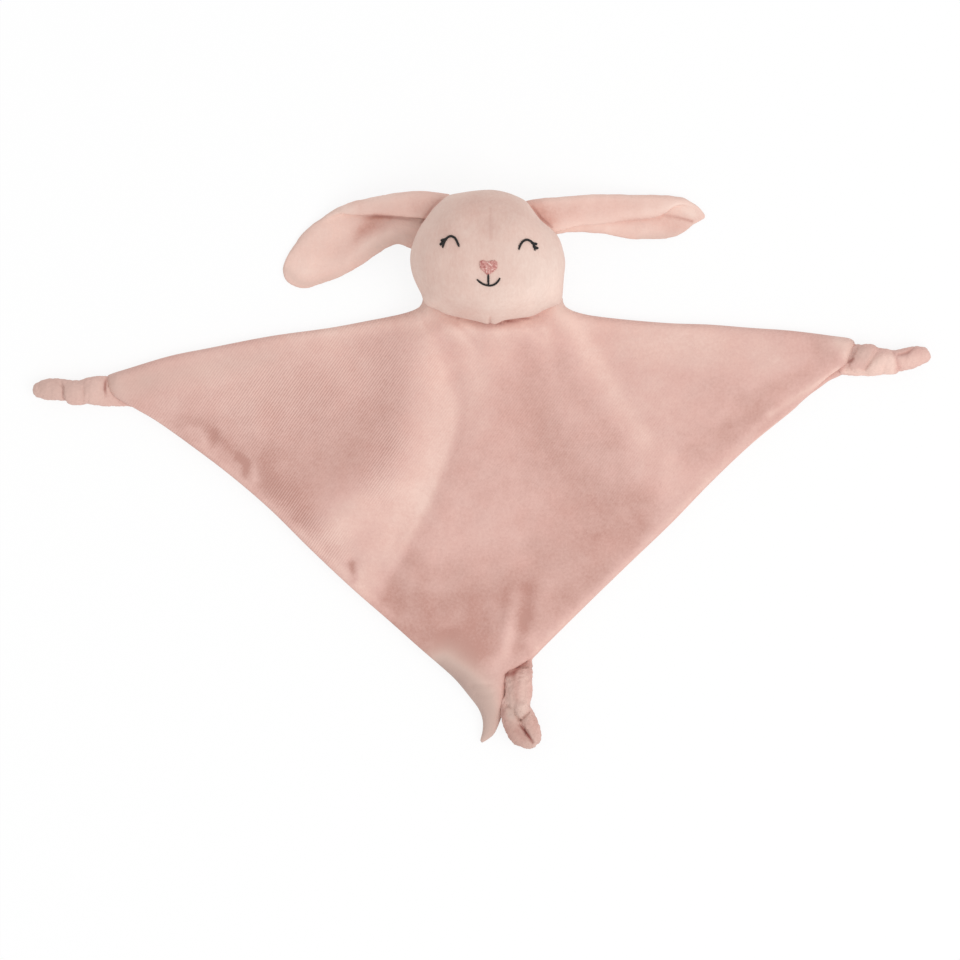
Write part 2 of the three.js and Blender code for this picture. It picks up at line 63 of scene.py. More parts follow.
# Where the cloth rises to the cheeks: x and y of the middle, spread and rise, in millimetres.
NECK_RISES = [(-33, 8, 7.5, 2.8), (36, 8, 7.5, 2.8), (-13, -3, 9, 2.4), (0, -5, 7, 1.5), (13, -3, 9, 2.4)]
FOLD_REACH = 0.009
FOLD_TURN_UNDER = 0.011
HEM_ROUND = 0.0022
HEM_BAND = 0.0052
HEM_RISE = 0.00025
WING_END_PUFF = 0.0026
CLOTH_TOP = 2 * LAYER + 2 * LAYER_GAP
CORNER_CUT = 0.176

# How the front cloth is modelled: the steps and rows of its points, and how its forms blend.
OUTLINE_STEP = 0.0011
EDGE_STEP = 0.002
STROKE_STEP = 0.004
FRONT_SPACING = 0.0015
FRONT_RIMS = (0.0002, 0.0006, 0.0011, 0.0017, 0.0024, 0.0034, 0.0046)
RIM_KEPT = 0.97
LATTICE_CLEARANCE = 0.6
FRONT_HILLS = [(0.0010, 0.05, 1), (0.0004, 0.016, 2), (0.00012, 0.006, 12)]
NECK_PUFF = 0.0045
NECK_PUFF_SIDEWAYS = 0.034
NECK_PUFF_DOWN = 0.018
WING_END_REACH = 0.011
WING_END_SLOPE = 0.006
VALLEY_ROUND = 0.0012
FOLD_SLOPE_START = 0.004
FOLD_SLOPE = 0.030
HEM_FOLDS = 0.2
HEM_FLAT = 0.001
HEM_SLOPE = 0.022
HEM_BAND_MIDDLE = 0.45
HEM_BAND_SPREAD = 0.4
TURN_UNDER_BLEND = 0.0012
LEAST_THICKNESS = 0.0001
CLAW_START = 0.168
CLAW_BLEND = 0.016
CLAW_RIGHT = 0.0105
CLAW_HEIGHT = 0.0088
CLAW_FALL = 0.0045
CLAW_FALL_START = 0.185
CLAW_FALL_LENGTH = 0.03
CLAW_UNDERSIDE = 0.0005
CLAW_ROUNDER = 0.6
CLOTH_SMOOTH_ANGLE = 65

# For all pieces: how close counts as the same, the lowest point of a skin, and how skins are smoothed.
EDGE_TOLERANCE = 1e-6
SAME_POINT = 1e-9
NO_LENGTH = 1e-12
LOWEST = 0.0003
SKIN_SMOOTHING = 0.5
SKIN_ROUNDS = 4
# How far apart two seeds lie in the noise.
SEED_SHIFT = (7.3, 3.1, 1.7)

# Outline of the folded cloth, clockwise from the left wing, in shares of the wing on that side and of the
# drop.
FOLD_SHARES = [
    (-1.003, -0.162), (-0.947, -0.142), (-0.842, -0.108), (-0.737, -0.085), (-0.579, -0.052),
    (-0.421, -0.028), (-0.316, -0.007), (-0.263, 0.004), (-0.232, 0.0114), (-0.203, 0.021), (-0.185, 0.032),
    (-0.178, 0.0455), (-0.1745, 0.059), (-0.158, 0.066), (-0.095, 0.058), (0.0, 0.056), (0.11, 0.058),
    (0.1786, 0.066), (0.198, 0.059), (0.2005, 0.0455), (0.2077, 0.032), (0.2253, 0.021), (0.2555, 0.0114),
    (0.297, 0.004), (0.385, -0.006), (0.495, -0.015), (0.604, -0.019), (0.714, -0.028), (0.824, -0.036),
    (0.934, -0.05), (0.992, -0.06),
]
RIGHT_END_SHARES = [(1.002, -0.08), (1.0, -0.107), (0.99, -0.121)]
RIGHT_HEM_SHARES = [
    (0.96, -0.144), (0.925, -0.17), (0.879, -0.214), (0.824, -0.264), (0.714, -0.357), (0.604, -0.465),
    (0.495, -0.581), (0.385, -0.69), (0.275, -0.8), (0.165, -0.912), (0.128, -0.951),
]
FLAP_EDGE_SHARES = [(0.112, -0.966), (0.09, -0.981), (0.065, -0.997), (0.044, -1.012)]
CLAW_SHARES = [
    (0.0435, -1.028), (0.0428, -1.06), (0.0405, -1.095), (0.0345, -1.122), (0.0255, -1.15), (0.012, -1.18),
    (-0.006, -1.197), (-0.022, -1.206), (-0.0255, -1.2), (-0.0195, -1.172), (-0.0195, -1.142),
    (-0.03, -1.11), (-0.054, -1.075), (-0.09, -1.028), (-0.128, -0.99),
]
LEFT_HEM_SHARES = [
    (-0.184, -0.938), (-0.263, -0.862), (-0.368, -0.763), (-0.474, -0.655), (-0.579, -0.543),
    (-0.684, -0.446), (-0.789, -0.36), (-0.874, -0.295), (-0.926, -0.262),
]
LEFT_END_SHARES = [(-0.965, -0.238), (-0.995, -0.218), (-1.01, -0.196), (-1.009, -0.176)]
HEM_SHARES = (
    RIGHT_END_SHARES + RIGHT_HEM_SHARES + FLAP_EDGE_SHARES + CLAW_SHARES + LEFT_HEM_SHARES + LEFT_END_SHARES
)

MM = 0.001

# Folds of the front cloth: the line of each from top to bottom or left to right, its height along that
# line, and its width on the left of the line, as one walks it, and on the right. In millimetres. A height
# that is the same all along is given once, and so is a width that is the same on both sides.
FOLDS = [
    ([(-40, -7), (-37, -30), (-39, -56), (-52, -76), (-72, -98), (-84, -112)],
     (1.2, 2.4, 2.6, 2.4, 2.2, 0.8), 12, 13),
    ([(-24, -12), (-19.5, -33), (-17.5, -53), (-27, -81), (-40, -109), (-57, -137)],
     (-0.6, -1.8, -2.2, -2.0, -1.8, -0.9), 6, 15),
    ([(33, -3.5), (42, -23), (55, -46), (70, -66), (80, -81)], (1.4, 2.6, 2.6, 2.2, 0.9), 12, 14),
    ([(13, -10), (18, -41), (31, -67), (51, -96), (66, -117)], (-0.8, -1.3, -1.3, -1.2, -0.7), 14, 13),
    ([(3.5, -14), (7, -41), (5, -81), (2.5, -121)], (0.7, 0.9, 0.8, 0.5), 13),
    ([(-8, -6), (-6, -26)], (-0.5, -0.4), 4), ([(20, -6), (23, -22)], (0.6, 0.5), 4),
    ([(-17, -3), (-12, -7.5), (-7, -13)], (-1.0, -1.3, -0.5), 2.2, 3),
    ([(-8, -5), (-3, -12)], (0.6, 0.4), 3), ([(21, -4), (26, -9), (34, -21)], (-0.6, -0.9, -0.4), 3),
    ([(9, -140), (8.5, -156), (9, -169)], (0.5, 1.3, 1.2), 3.6),
    ([(18.5, -136), (16, -154), (14, -166)], (-0.8, -1.2, -0.7), 4),
    ([(-2.5, -143), (-5, -161)], (-0.8, -1.0), 6), ([(-25, -165), (-17.5, -168.5)], -0.8, 4),
    ([(-26.5, -147), (-22, -160)], (-0.7, -0.6), 5),
    ([(-156, -51), (-142.5, -59), (-129, -69.5), (-114, -81)], (-0.5, -1.0, -1.0, -0.8), 3),
    ([(-137.5, -57), (-139, -63.5)], (-0.8, -0.6), 2.5), ([(-69, -121), (-68.5, -129)], (-1.2, -1.0), 3),
    ([(-58.5, -139), (-51, -151), (-43, -160)], (-0.8, -1.0, -0.8), 4, 2.6),
    ([(-49, -132), (-41, -140)], (-0.7, -0.6), 5),
    ([(105, -55), (122.5, -51), (137.5, -45)], (-0.5, -1.0, -0.8), 3.5),
    ([(100, -64), (117.5, -60), (130, -55)], (-0.7, -1.0, -0.6), 3),
    ([(91, -72), (104, -69.5)], (-0.7, -0.8), 3), ([(119, -56), (142, -49)], 0.5, 2.5),
    ([(-180, -35), (-120, -24), (-45, -10)], (0.4, 0.8, 0.7), 13),
    ([(75, -13.5), (135, -21), (170, -17)], (0.7, 0.8, 0.4), 10), ([(-100, -60), (-75, -90)], -0.8, 14),
    ([(58, -104), (82, -98)], (-0.8, -0.9), 13),
]
FOLD_BASE = 0.0026

# How the nap of the cloth lies, with painted light and shade on its folds, creases and hollows, under the
# chin and at the wing ends: lighter or darker strokes, given as the folds are.
CLOTH_NAP_AND_SHADE = [
    ([(-31, -9), (-24, -30), (-19, -50), (-27, -78), (-40, -106), (-58, -139)],
     (0.6, 0.95, 1.1, 1.25, 1.2, 0.6), 3.5, 15),
    ([(-62, -90), (-78, -112)], (0.5, 0.8), 9), ([(-78, -112), (-68, -128)], 0.5, 6, 8),
    ([(-50, -8), (-54, -40), (-68, -66), (-86, -82)], (-0.1, -0.35, -0.7, -0.7), 14, 17),
    ([(16, -10), (21, -42), (36, -70), (58, -92)], (-0.35, -0.55, -0.6, -0.5), 10, 18),
    ([(78, -92), (69, -105)], (-0.8, -0.3), 8), ([(62, -113), (52, -130)], (-0.35, -0.7), 9),
    ([(34, -84), (48, -104), (30, -124)], (-0.3, -0.4, -0.35), 16),
    ([(30, -15), (44, -40), (60, -62)], (-0.5, -0.5, -0.45), 9, 8),
    ([(38, -1), (50, -17), (62, -37), (76, -58), (90, -70), (87, -94)],
     (0.6, 0.66, 0.66, 0.6, 0.3, 0.1), 4.5, 6.5),
    ([(75, -10), (135, -20), (165, -20)], (0.45, 0.5, 0.3), 12, 10),
    ([(100, -64), (120, -55), (140, -45)], (-0.4, -0.8, -0.5), 6, 8),
    ([(96, -66), (110, -72)], (-0.1, -0.3), 5), ([(128, -42), (165, -24)], -0.5, 6),
    ([(-30, -146), (-12, -140), (-4, -160), (-22, -166)], (-0.9, -1.0, -0.9, -1.1), 9),
    ([(0, -128), (16, -132)], -0.7, 9), ([(-52, -128), (-44, -141)], (-0.9, -0.8), 7, 6),
    ([(-12, -8), (-8, -30), (-8, -50)], (0.6, 0.6, 0.5), 8), ([(-19, -6), (-14, -8)], (0.7, 0.5), 4),
    ([(-150, -56), (-125, -68), (-106, -84)], -0.5, 10), ([(-95, -86), (-95, -98)], (-0.35, -0.3), 8),
    ([(-78, -116), (-70, -124)], (-0.5, -0.3), 6),
    ([(-45, -116), (-32, -126), (-16, -126)], (-0.5, -0.5, -0.45), 6),
    ([(-57, -138), (-46, -147)], (-0.7, -0.5), 5), ([(-35, -135), (-34, -137)], -0.4, 5),
    ([(-46, -155), (-32, -158), (-14, -155)], (-0.9, -0.9, -0.8), 6),
    ([(-38, -165), (-24, -169)], (-0.7, -0.5), 5), ([(-17, -176), (-4, -176)], (-1.0, -0.9), 5),
    ([(3, -137), (14, -147), (26, -150), (38, -139)], (-0.4, -0.6, -0.5, -0.7), 7),
    ([(-100, -9), (-80, -6), (-60, -4), (-46, -2)], (0.45, 0.45, 0.45, 0.4), 5),
    ([(12, -5), (25, -9), (30, -26)], (0.5, 0.5, 0.3), 5), ([(76, -103), (77, -105)], -0.5, 5),
    ([(12, -166), (18, -165)], (-0.35, -0.3), 4), ([(-112, -66), (-98, -66)], -0.3, 8),
    ([(-54, -86), (-46, -86)], 0.3, 6), ([(45, -46), (55, -58)], 0.25, 6),
    ([(66, -76), (68, -88)], -0.4, 6), ([(84, -64), (86, -67)], -0.4, 4),
    ([(12, -138), (10.6, -152), (7.5, -168)], (0.3, 0.75, 0.9), 3.2),
    ([(20, -135), (17.5, -150), (14.5, -162)], (-0.6, -0.9, -0.6), 4.5, 4),
    ([(-125, -69), (-121.5, -73), (-122.5, -79)], (-0.8, -1.3, -0.8), 2.2),
    ([(-118, -73), (-117, -81)], (0.5, 0.6), 2), ([(-112, -73), (-109, -84)], -0.45, 6),
    ([(-145, -56), (-142, -63)], (0.5, 0.4), 1.5),
    ([(-155, -51), (-143, -53), (-126, -70)], (-0.35, -0.45, -0.5), 2.8),
    ([(-137.5, -57), (-139, -63.5)], (-0.7, -0.5), 2), ([(-150, -56), (-138, -66)], (0.5, 0.4), 3),
    ([(-69, -123), (-68, -131)], (-1.6, -1.4), 2.2), ([(-21, -168), (-17, -169)], (-1.2, -1.0), 2.6),
    ([(-140, -28), (-80, -16)], (0.3, 0.35), 12, 10), ([(-184, -34), (-176, -36)], -0.3, 8),
    ([(5, -8), (8, -22)], (0.6, 0.4), 6), ([(28, -7), (31, -17)], (0.5, 0.3), 3.5),
    ([(-17, -3), (-12, -7.5), (-7, -13)], (-0.7, -0.8, -0.4), 1.4, 2.0),
    ([(21, -4), (26, -9)], (-0.3, -0.4), 1.6), ([(-2, -60), (6, -115)], (-0.1, -0.2), 18),
    ([(-112, -95), (-80, -126)], 0.2, 6), ([(-8, -176), (2, -176)], 0.5, 3),
    ([(-10, -182.6), (-5, -184.2), (0, -183.6)], (-0.5, -0.8, -0.5), 0.9),
    ([(-9.6, -181), (-4, -182.6), (1, -182)], (0.6, 0.7, 0.5), 0.9),
    ([(-6, -186.8), (-1, -187), (2, -186)], (0.6, 0.7, 0.5), 0.9),
    ([(-6, -188.6), (-1, -188.8), (2, -187.6)], (-0.4, -0.7, -0.5), 0.9),
    ([(-4, -172), (4, -171)], (0.4, 0.5), 3), ([(174, -26), (140, -48)], (1.0, 0.8), 1.6),
    ([(140, -48), (110, -80), (70, -120), (24, -165)], (0.5, 0.5, 0.6, 0.5), 2.2),
    ([(-182, -43), (-140, -68), (-90, -111), (-45, -152)], (0.25, 0.3, 0.35, 0.3), 1.6),
    ([(-26, 5), (-14, 0), (0, -3.6)], (0.1, -0.2, -0.3), 1.6),
    ([(4, -4.2), (12, -2.2), (20, 0.4)], (-0.4, -0.9, -0.3), 1),
    ([(8, -1), (18, 1), (27, 4)], (0.4, 0.7, 0.5), 4), ([(-24, 2), (-12, -1)], (0.6, 0.7), 3),
    ([(-80, -5), (-52, -3)], 0.35, 4, 5),
    ([(-28, -3), (-14, -6), (0, -8), (22, -6)], (0.35, 0.45, 0.45, 0.4), 5, 7),
    ([(-2, -20), (-2, -32)], (0.25, 0.3), 6), ([(45, -5), (75, -5), (110, -8)], (0.2, 0.25, 0.2), 5, 6),
    ([(60, -16), (85, -16)], 0.28, 6), ([(-15, -176), (-17, -180)], (-0.6, -0.5), 5),
    ([(-14, -169), (-4, -170), (3, -168)], (-0.6, -0.7, -0.5), 6), ([(20, -162), (24, -168)], 0.5, 3),
    ([(-2, -126), (-1, -130)], 0.5, 5), ([(22, -114), (24, -120)], -0.35, 6),
    ([(-40, -100), (-42, -108)], -0.4, 5), ([(72, -114), (72, -118)], -0.35, 5),
    ([(-77, -114), (-79, -118)], -0.3, 5), ([(165, -15), (174, -18)], -0.5, 5),
    ([(177, -19), (178, -20.5)], 0.9, 2.5), ([(-95, -100), (-84, -112)], -0.4, 6),
    ([(9, -138), (9, -152)], (-0.45, -0.5), 4), ([(110, -76), (108, -80)], 0.35, 5),
    ([(34, 14), (37, 5), (44, -3)], (1.6, 1.3, 0.5), 6),
    ([(-33, 13), (-33, 3), (-40, -2)], (1.6, 1.3, 0.4), 6), ([(175, -13), (181, -17)], (1.0, 1.3), 4.5),
]
# Where the cloth shows the paler, greyer side of its nap: at the cheeks, at its loose corner and in the
# knots. Beyond SHADE_FROM it darkens into painted shade, most on the loose corner.
CLOTH_ASH_AND_SHADE = [
    ([(-34, 14), (-32, 7), (-29, 3)], (0.5, 0.45, 0.3), 5),
    ([(34, 12), (35, 5), (36, 0)], (0.6, 0.5, 0.2), 5),
    ([(-23, -174), (-13, -183), (-5, -190), (-2.5, -197), (-2.5, -207)], (1.2, 1.5, 1.35, 1.3, 1.1), 9, 8),
    ([(-34, -170), (-24, -176)], (0.3, 0.2), 4), ([(-190, -34), (-178, -34)], (0.7, 0.4), 9),
    ([(-170, -30), (-110, -19)], (0.35, 0.2), 6), ([(170, -12), (182, -14)], (0.2, 0.3), 5),
]
# Painted shade where cloth lies close against cloth and no light gets between, here and in the three
# lists below.
CLOTH_PAINTED_SHADE = [
    ([(2.6, -3.9), (7, -2.3), (10.5, -1.5), (18.1, -0.5), (23, 0.5), (29, 4.4)],
     (0.2, 0.8, 0.9, 0.55, 0.3, 0.1), 0.6),
    ([(-25, 3.2), (-14, -1.2), (-6, -2.9)], (0.2, 0.25, 0.15), 0.5),
]
KNOT_PAINTED_SHADE = [
    ([(-191.3, -29.8), (-192.1, -32.5), (-192.3, -36), (-191.6, -38.5)], (0.1, 0.55, 0.6, 0.1), 0.6),
    ([(-213.6, -31), (-213, -35.2), (-213.3, -39.4), (-211.6, -42)], (0.1, 0.2, 0.3, 0.2), 0.35),
    ([(179.1, -22.1), (181.2, -20.7)], (0.6, 0.5), 0.6),
    ([(204, -18.6), (208, -17.8), (211.5, -15.4)], (0.1, 0.25, 0.1), 0.6),
    ([(14.8, -203.1), (17, -205.8), (19.4, -209), (21.3, -212)], (0.4, 1.0, 1.0, 0.5), 0.6),
    ([(13.5, -206), (17, -210)], 0.25, 1.8), ([(7.6, -178), (11.4, -178)], (0.6, 0.55), 1.3),
    ([(12, -176.8), (15, -173.6), (18.6, -171.6)], (0.6, 0.6, 0.3), 1.0),
    ([(6.4, -196), (6.8, -200)], (0.3, 0.25), 1.2),
]
LEFT_EAR_PAINTED_SHADE = [
    ([(-63, 50.2), (-57, 50.7), (-50, 50.2), (-40, 48.8)], (0.1, 0.4, 0.35, 0.15), 0.5, 0.6),
    ([(-34.4, 47.2), (-31.8, 51), (-28.2, 55.6), (-24, 59.4)], (0.35, 0.3, 0.25, 0.1), 0.6),
]
RIGHT_EAR_PAINTED_SHADE = [
    ([(21.2, 55.3), (25.5, 49.7), (31, 45)], (0.4, 0.7, 0.4), 0.5),
    ([(87, 51.4), (93, 50.6), (101, 48.3)], (0.05, 0.2, 0.3), 0.5),
]
# Nap of the knots, with painted shade in the gaps and creases between their strands and painted highlights
# on some strands.
KNOT_NAP_AND_SHADE = [
    ([(-227, -36), (-216, -36)], (-0.15, -0.25), 6), ([(-211, -37), (-205, -37)], -0.1, 6),
    ([(-191.3, -29.8), (-192.1, -32.5), (-192.3, -36), (-191.6, -38.5)], (-0.3, -1.2, -1.2, -0.4), 0.9),
    ([(-218.4, -30.6), (-213, -35.2), (-212, -42)], (-0.3, -0.5, -0.5), 0.7),
    ([(-202.5, -31), (-203, -43)], (-0.3, -0.5), 0.7), ([(184, -14), (187, -24)], -0.2, 3),
    ([(195.5, -14.7), (192, -18), (187, -26)], (-0.1, -0.3, -0.2), 1.8),
    ([(-196, -33), (-197, -40)], 0.3, 3), ([(193, -25), (199, -22)], (1.9, 1.7), 4.5),
    ([(178, -27), (200, -28)], (1.3, 1.5), 2),
    ([(201.5, -17.5), (202.5, -19.5), (204, -25.5)], (-0.9, -1.0, -0.6), 1.0, 0.8),
    ([(204, -18.4), (208, -17.6), (211.5, -15.2)], (-0.7, -0.9, -0.5), 0.9),
    ([(209, -23), (218, -19)], 0.5, 3), ([(180.2, -22), (181.5, -20.5)], -0.6, 1),
    ([(12, -178), (14, -196), (16, -212)], (-1.0, -1.0, -0.9), 11),
    ([(8.5, -178), (17, -174)], (-1.2, -0.8), 2), ([(8, -181), (7.6, -192)], 1.1, 2),
    ([(9, -203), (12, -209), (18, -212)], (-0.9, -1.0, -0.7), 3), ([(4, -194), (6, -201)], (0.6, 0.7), 2.2),
    ([(13, -188), (13.5, -192), (17, -192)], (-0.6, -0.7, -0.5), 0.6), ([(17, -178), (17, -191)], 1.3, 3.4),
    ([(16, -195.4), (16.4, -196)], 1.8, 3), ([(6, -193), (9, -196), (7.5, -204)], (-0.4, -0.7, -0.2), 2),
    ([(14.8, -203.1), (18, -207), (21.3, -212)], (-0.6, -0.9, -0.5), 0.9),
    ([(13, -207), (17, -211)], -0.5, 2),
    ([(12.5, -199.5), (15.5, -200.6), (19, -198)], (-0.7, -0.8, -0.7), 0.8),
]
# Greyer nap on the knots; beyond SHADE_FROM it is painted shade.
KNOT_ASH_AND_SHADE = [
    ([(-228, -36), (-196, -37)], (0.6, 0.45), 10), ([(186, -18), (190, -20)], (0.5, 0.4), 5),
    ([(9.5, -181), (10.5, -198)], 0.5, 3), ([(17, -180), (17, -197)], 0.4, 3.5),
    ([(12, -200), (20, -214)], (0.5, 0.6), 8),
]
# Nap of the head, with painted light and shade: lighter towards the lower right and along the rims, darker
# below the crown and in the notch under the chin.
HEAD_NAP_AND_SHADE = [
    ([(-17, 56), (-6, 57), (6, 57), (13, 54)], (-0.3, -0.55, -0.4, -0.3), 7),
    ([(-20, 61.5), (-8, 64), (6, 63.5), (17, 60)], (0.4, 0.5, 0.4, 0.5), 4.5),
    ([(-38, 42), (-40, 28), (-36, 15)], (0.3, 0.5, 0.7), 4), ([(-22, 42), (-14, 31)], (-0.3, -0.4), 6),
    ([(36, 45), (30, 44)], (0.4, 0.3), 3), ([(-33, 8), (-27, 5), (-20, 2)], (0.6, 0.5, 0.2), 3),
    ([(-8, 50), (3, 50)], (-0.3, -0.35), 6), ([(-3, 43), (2, 43)], -0.4, 4),
    ([(-28, 48), (-35, 32), (-32, 14)], (-0.1, 0.0, -0.1), 9), ([(-20, 18), (-12, 6)], (-0.35, -0.3), 7),
    ([(17, 30), (26, 14), (10, 6)], (0.45, 0.7, 0.5), 11), ([(35, 32), (33, 14)], (0.45, 0.6), 5),
    ([(0.4, 54), (0.4, 38)], (-0.5, -0.8), 0.55), ([(-6, 20), (-8, 30)], 0.25, 8),
    ([(-31, 44), (-26, 54), (-14, 60)], (0.3, 0.35, 0.25), 6), ([(22, 55), (26, 51)], (0.4, 0.3), 3),
    ([(0.2, -0.4), (0.2, -3.6)], (-1.2, -1.8), 0.5), ([(-20, 12), (0, 8), (20, 12)], (0.2, 0.3, 0.3), 9),
]
# Nap of the left ear, with painted shade in the hollow under the flap and along its edge, and painted
# highlights on the upper edge and the tip.
LEFT_EAR_NAP_AND_SHADE = [
    ([(-52, 48.5), (-58, 47.5), (-64, 43.5), (-67.5, 38)], (-0.2, -0.9, -1.1, -0.6), 3.4, 3.6),
    ([(-63, 49.6), (-57, 50.3), (-50, 50)], (-0.4, -1.2, -0.7), 1.2),
    ([(-50, 46), (-42, 46), (-36, 47)], (0.4, 0.7, 1.5), 4), ([(-50, 49.7), (-36, 48.6)], -0.4, 0.7),
    ([(-22, 55), (-36, 52)], -0.2, 4),
    ([(-80, 51), (-66, 57.5), (-52, 61), (-34, 62)], (0.7, 0.4, 0.6, 0.3), 3.5),
    ([(-90, 24), (-76, 26)], 0.3, 5), ([(-45, 40), (-56, 34.5), (-67, 26)], (-0.1, -0.2, -0.1), 3),
    ([(-50, 42.5), (-61, 37), (-71, 28)], (0.5, 0.7, 0.4), 2.2), ([(-74, 42), (-94, 28)], (0.75, 0.85), 12),
    ([(-45, 57), (-60, 54.5)], 0.35, 4), ([(-68, 52), (-74, 54)], 0.5, 3),
    ([(-76, 33), (-86, 33)], -0.3, 6), ([(-60, 60), (-50, 61.5)], 0.4, 2.5),
]
# Nap of the right ear, with painted shade near the head and under the flap's edge, and painted highlights
# on the upper edge and the tip.
RIGHT_EAR_NAP_AND_SHADE = [
    ([(20, 56), (25, 52), (30, 47)], (-0.5, -0.9, -0.8), 4.5), ([(36, 52), (40, 50)], -0.2, 6),
    ([(30, 60), (42, 61), (62, 61.5), (84, 61)], (0.5, 0.9, 0.6, 0.4), 3.5),
    ([(55, 46.4), (70, 48.6), (85, 50)], (-0.3, -0.45, -0.4), 1.2),
    ([(33, 44), (40, 46), (50, 46), (62, 48)], (0.5, 0.6, 0.7, 0.4), 4),
    ([(106, 54), (103, 50)], (0.8, 0.6), 4),
    ([(90, 54.6), (94, 56), (98, 55), (101.5, 52)], (0.4, 0.9, 1.0, 0.9), 1.3),
    ([(86.5, 51.6), (93, 50.6), (101, 48.3)], (-0.5, -0.6, -0.8), 1.0), ([(89, 54), (99, 54)], 0.6, 4),
    ([(60, 44), (85, 44)], (0.45, 0.5), 3), ([(80, 55), (100, 58)], (0.5, 0.7), 5),
    ([(86.5, 51.6), (89, 54)], (-0.4, -0.2), 0.8), ([(66, 51.4), (86, 52.4)], (0.45, 0.4), 2.5),
    ([(33, 44), (43, 45)], 0.4, 3),
]
# Painted shade on the ears, as greyer nap: in the hollow under the left flap and along the rims.
EAR_ASH_AND_SHADE = [
    ([(-36, 39), (-45, 39.5), (-56, 35), (-64, 28)], (0.45, 0.65, 0.8, 0.3), 3.2, 4.2),
    ([(-102, 24), (-92, 16.5), (-70, 22)], 0.5, 2), ([(-76, 54.5), (-90, 45), (-100, 34)], 0.4, 2),
    ([(75, 39.5), (94, 41), (102, 45)], 0.5, 2),
]
# Where the weave's ribs show through the pile.
RIBS = [
    ([(-158, -42), (-110, -40), (-62, -26)], (0.4, 1.08, 0.75), 26, 30),
    ([(-48, -62), (-56, -82)], 0.7, 10), ([(-20, -30), (60, -60)], 0.2, 40),
    ([(-104, -88), (-80, -116)], 0.85, 9, 8),
]

# Light: even all round, with a large soft lamp to the right of the viewer and a little below. The floor
# glows for the camera alone, so that it is white and its shadows are faint.
WORLD_LIGHT = 0.765
KEY_PLACE = (1.7, -1.05, 2.9)
KEY_SIZE = 2.4
KEY_POWER = 46
KEY_AIM = (0, -0.05, 0)
FLOOR_GLOW = 0.86
FLOOR_SIZE = 8.0
FLOOR_LEVEL = -0.0002
FLOOR_SURFACE = {"Base Color": (0.96, 0.96, 0.96, 1), "Roughness": 0.9, "Specular IOR Level": 0.0}

# Camera: straight above, so far off that heights shift little.
CAMERA_OVER = (-0.005, -0.081)
CAMERA_HEIGHT = 6.0
VIEW_WIDTH = 0.48
SENSOR_WIDTH = 36
CAMERA_FAR = 40

# Head: lies on its back. Its outlines, in millimetres, run from the crown to the left side first.
HEAD_MIDDLE = (-0.0012, 0.0285)
HEAD_DEPTH = 0.055
HEAD_ROUNDNESS = 2.35
REST_CUT = 0.0005
HEAD_MIDDLE_Z = HEAD_DEPTH / 2 - REST_CUT
SEAM_HEIGHT = 0.0253
SEAM_WIDTH = 0.0014
SEAM_DEPTH = 0.0011
FACE_OUTLINE = [
    (0.2, 64.2), (-7.7, 63.7), (-15.2, 62.6), (-20.3, 61.5), (-24.2, 58.8), (-28.5, 54.7), (-32, 50),
    (-35, 45.8), (-37.6, 40.3), (-39.5, 34.5), (-40, 28), (-38.7, 21.2), (-36.5, 16), (-34.4, 11.8),
    (-33.2, 8.2), (-31.2, 5.9), (-26.8, 4.3), (-22.1, 1.9), (-13.5, -0.2), (-6, -1.9), (-2, -3.1),
    (0.9, -3.4), (3.8, -2.8), (6.7, -1.4), (10.5, -0.7), (18.1, 0.3), (22.1, 1.2), (26.8, 3.8), (31.4, 5.6),
    (34.6, 6.6), (36.1, 9.6), (36.5, 13.2), (37, 20), (37.7, 27.7), (36.5, 34.5), (34.4, 40.3),
    (30.8, 44.5), (25.2, 49.2), (21.2, 54.5), (18, 58.5), (12.4, 61.4), (6.7, 63.3),
]
BACK_OUTLINE = [
    (0.2, 63.5), (-15.2, 61.8), (-28.5, 54), (-37.2, 40.3), (-39.5, 28), (-36.6, 16.5), (-34.2, 11.5),
    (-31.5, 8), (-27, 5), (-20, 2.5), (0, 1), (22, 2.5), (29, 5), (34, 8), (36.4, 11.5), (37.2, 20),
    (37.2, 27.7), (34.2, 39.8), (25, 48.8), (18, 57.8), (6.7, 62.5),
]
NECK_TOP = 0.016
PANEL_SEAM_X = 0.0002
PANEL_SEAM_WIDTH = 0.0016
PANEL_SEAM_DEPTH = 0.0002
PANEL_SEAM_END = 0.040
CHIN_NOTCH_DEPTH = 0.0008
# Dents of the face: x, y, radius and depth.
FACE_DENTS = [
    (0.0095, 0.054, 0.008, 0.0009), (-0.004, 0.0475, 0.007, 0.0006), (0.001, 0.040, 0.006, 0.0004),
    (-0.022, 0.012, 0.010, 0.0004), (0.004, 0.006, 0.007, 0.0004),
]

# How the head is made: the stuffed form, and how far and where it is drawn to the outlines.
HEAD_LINE_STEP = 0.0008
DIRECTIONS = 360
SOFT_WINDOW = 60
SOFT_SPREAD = 22.0
SOFTER_FROM = 0.029
SOFTER_OVER = 0.017
NECK_BLEND_TOP = SEAM_HEIGHT + 0.005
NECK_BLEND = 0.014
CHIN_BLEND_TOP = SEAM_HEIGHT + 0.0005
CHIN_BLEND = 0.005
HEAD_SEGMENTS = 80
HEAD_RINGS = 50
HEAD_GRAIN = 0.004
SLACK_UP = 0.001
SLACK_OUT = 0.0012
STUFFING_PRESSURE = 4
STUFFING_REACH = 0.003
CLOTH_QUALITY = 6
CLOTH_MASS = 0.1
CLOTH_FRAMES = 20
FIT_SHARE = 0.95
FIT_TOP = 0.032
FIT_TOP_BLEND = 0.012
FIT_LOW = 0.002
FIT_LOW_BLEND = 0.006
FIT_MIDDLE = 0.02
NECK_TOP_BLEND = 0.006
NECK_HALF_WIDTH = 0.02
FACE_BLEND = 0.008
FACE_HILLS = [(0.00035, 0.018, 4)]
PANEL_SEAM_FADE = 0.012
CHIN_NOTCH_WIDTH = 0.0011
CHIN_NOTCH_TOP = 0.002
CHIN_NOTCH_FADE = 0.004
HEAD_SMOOTH_ANGLE = 50

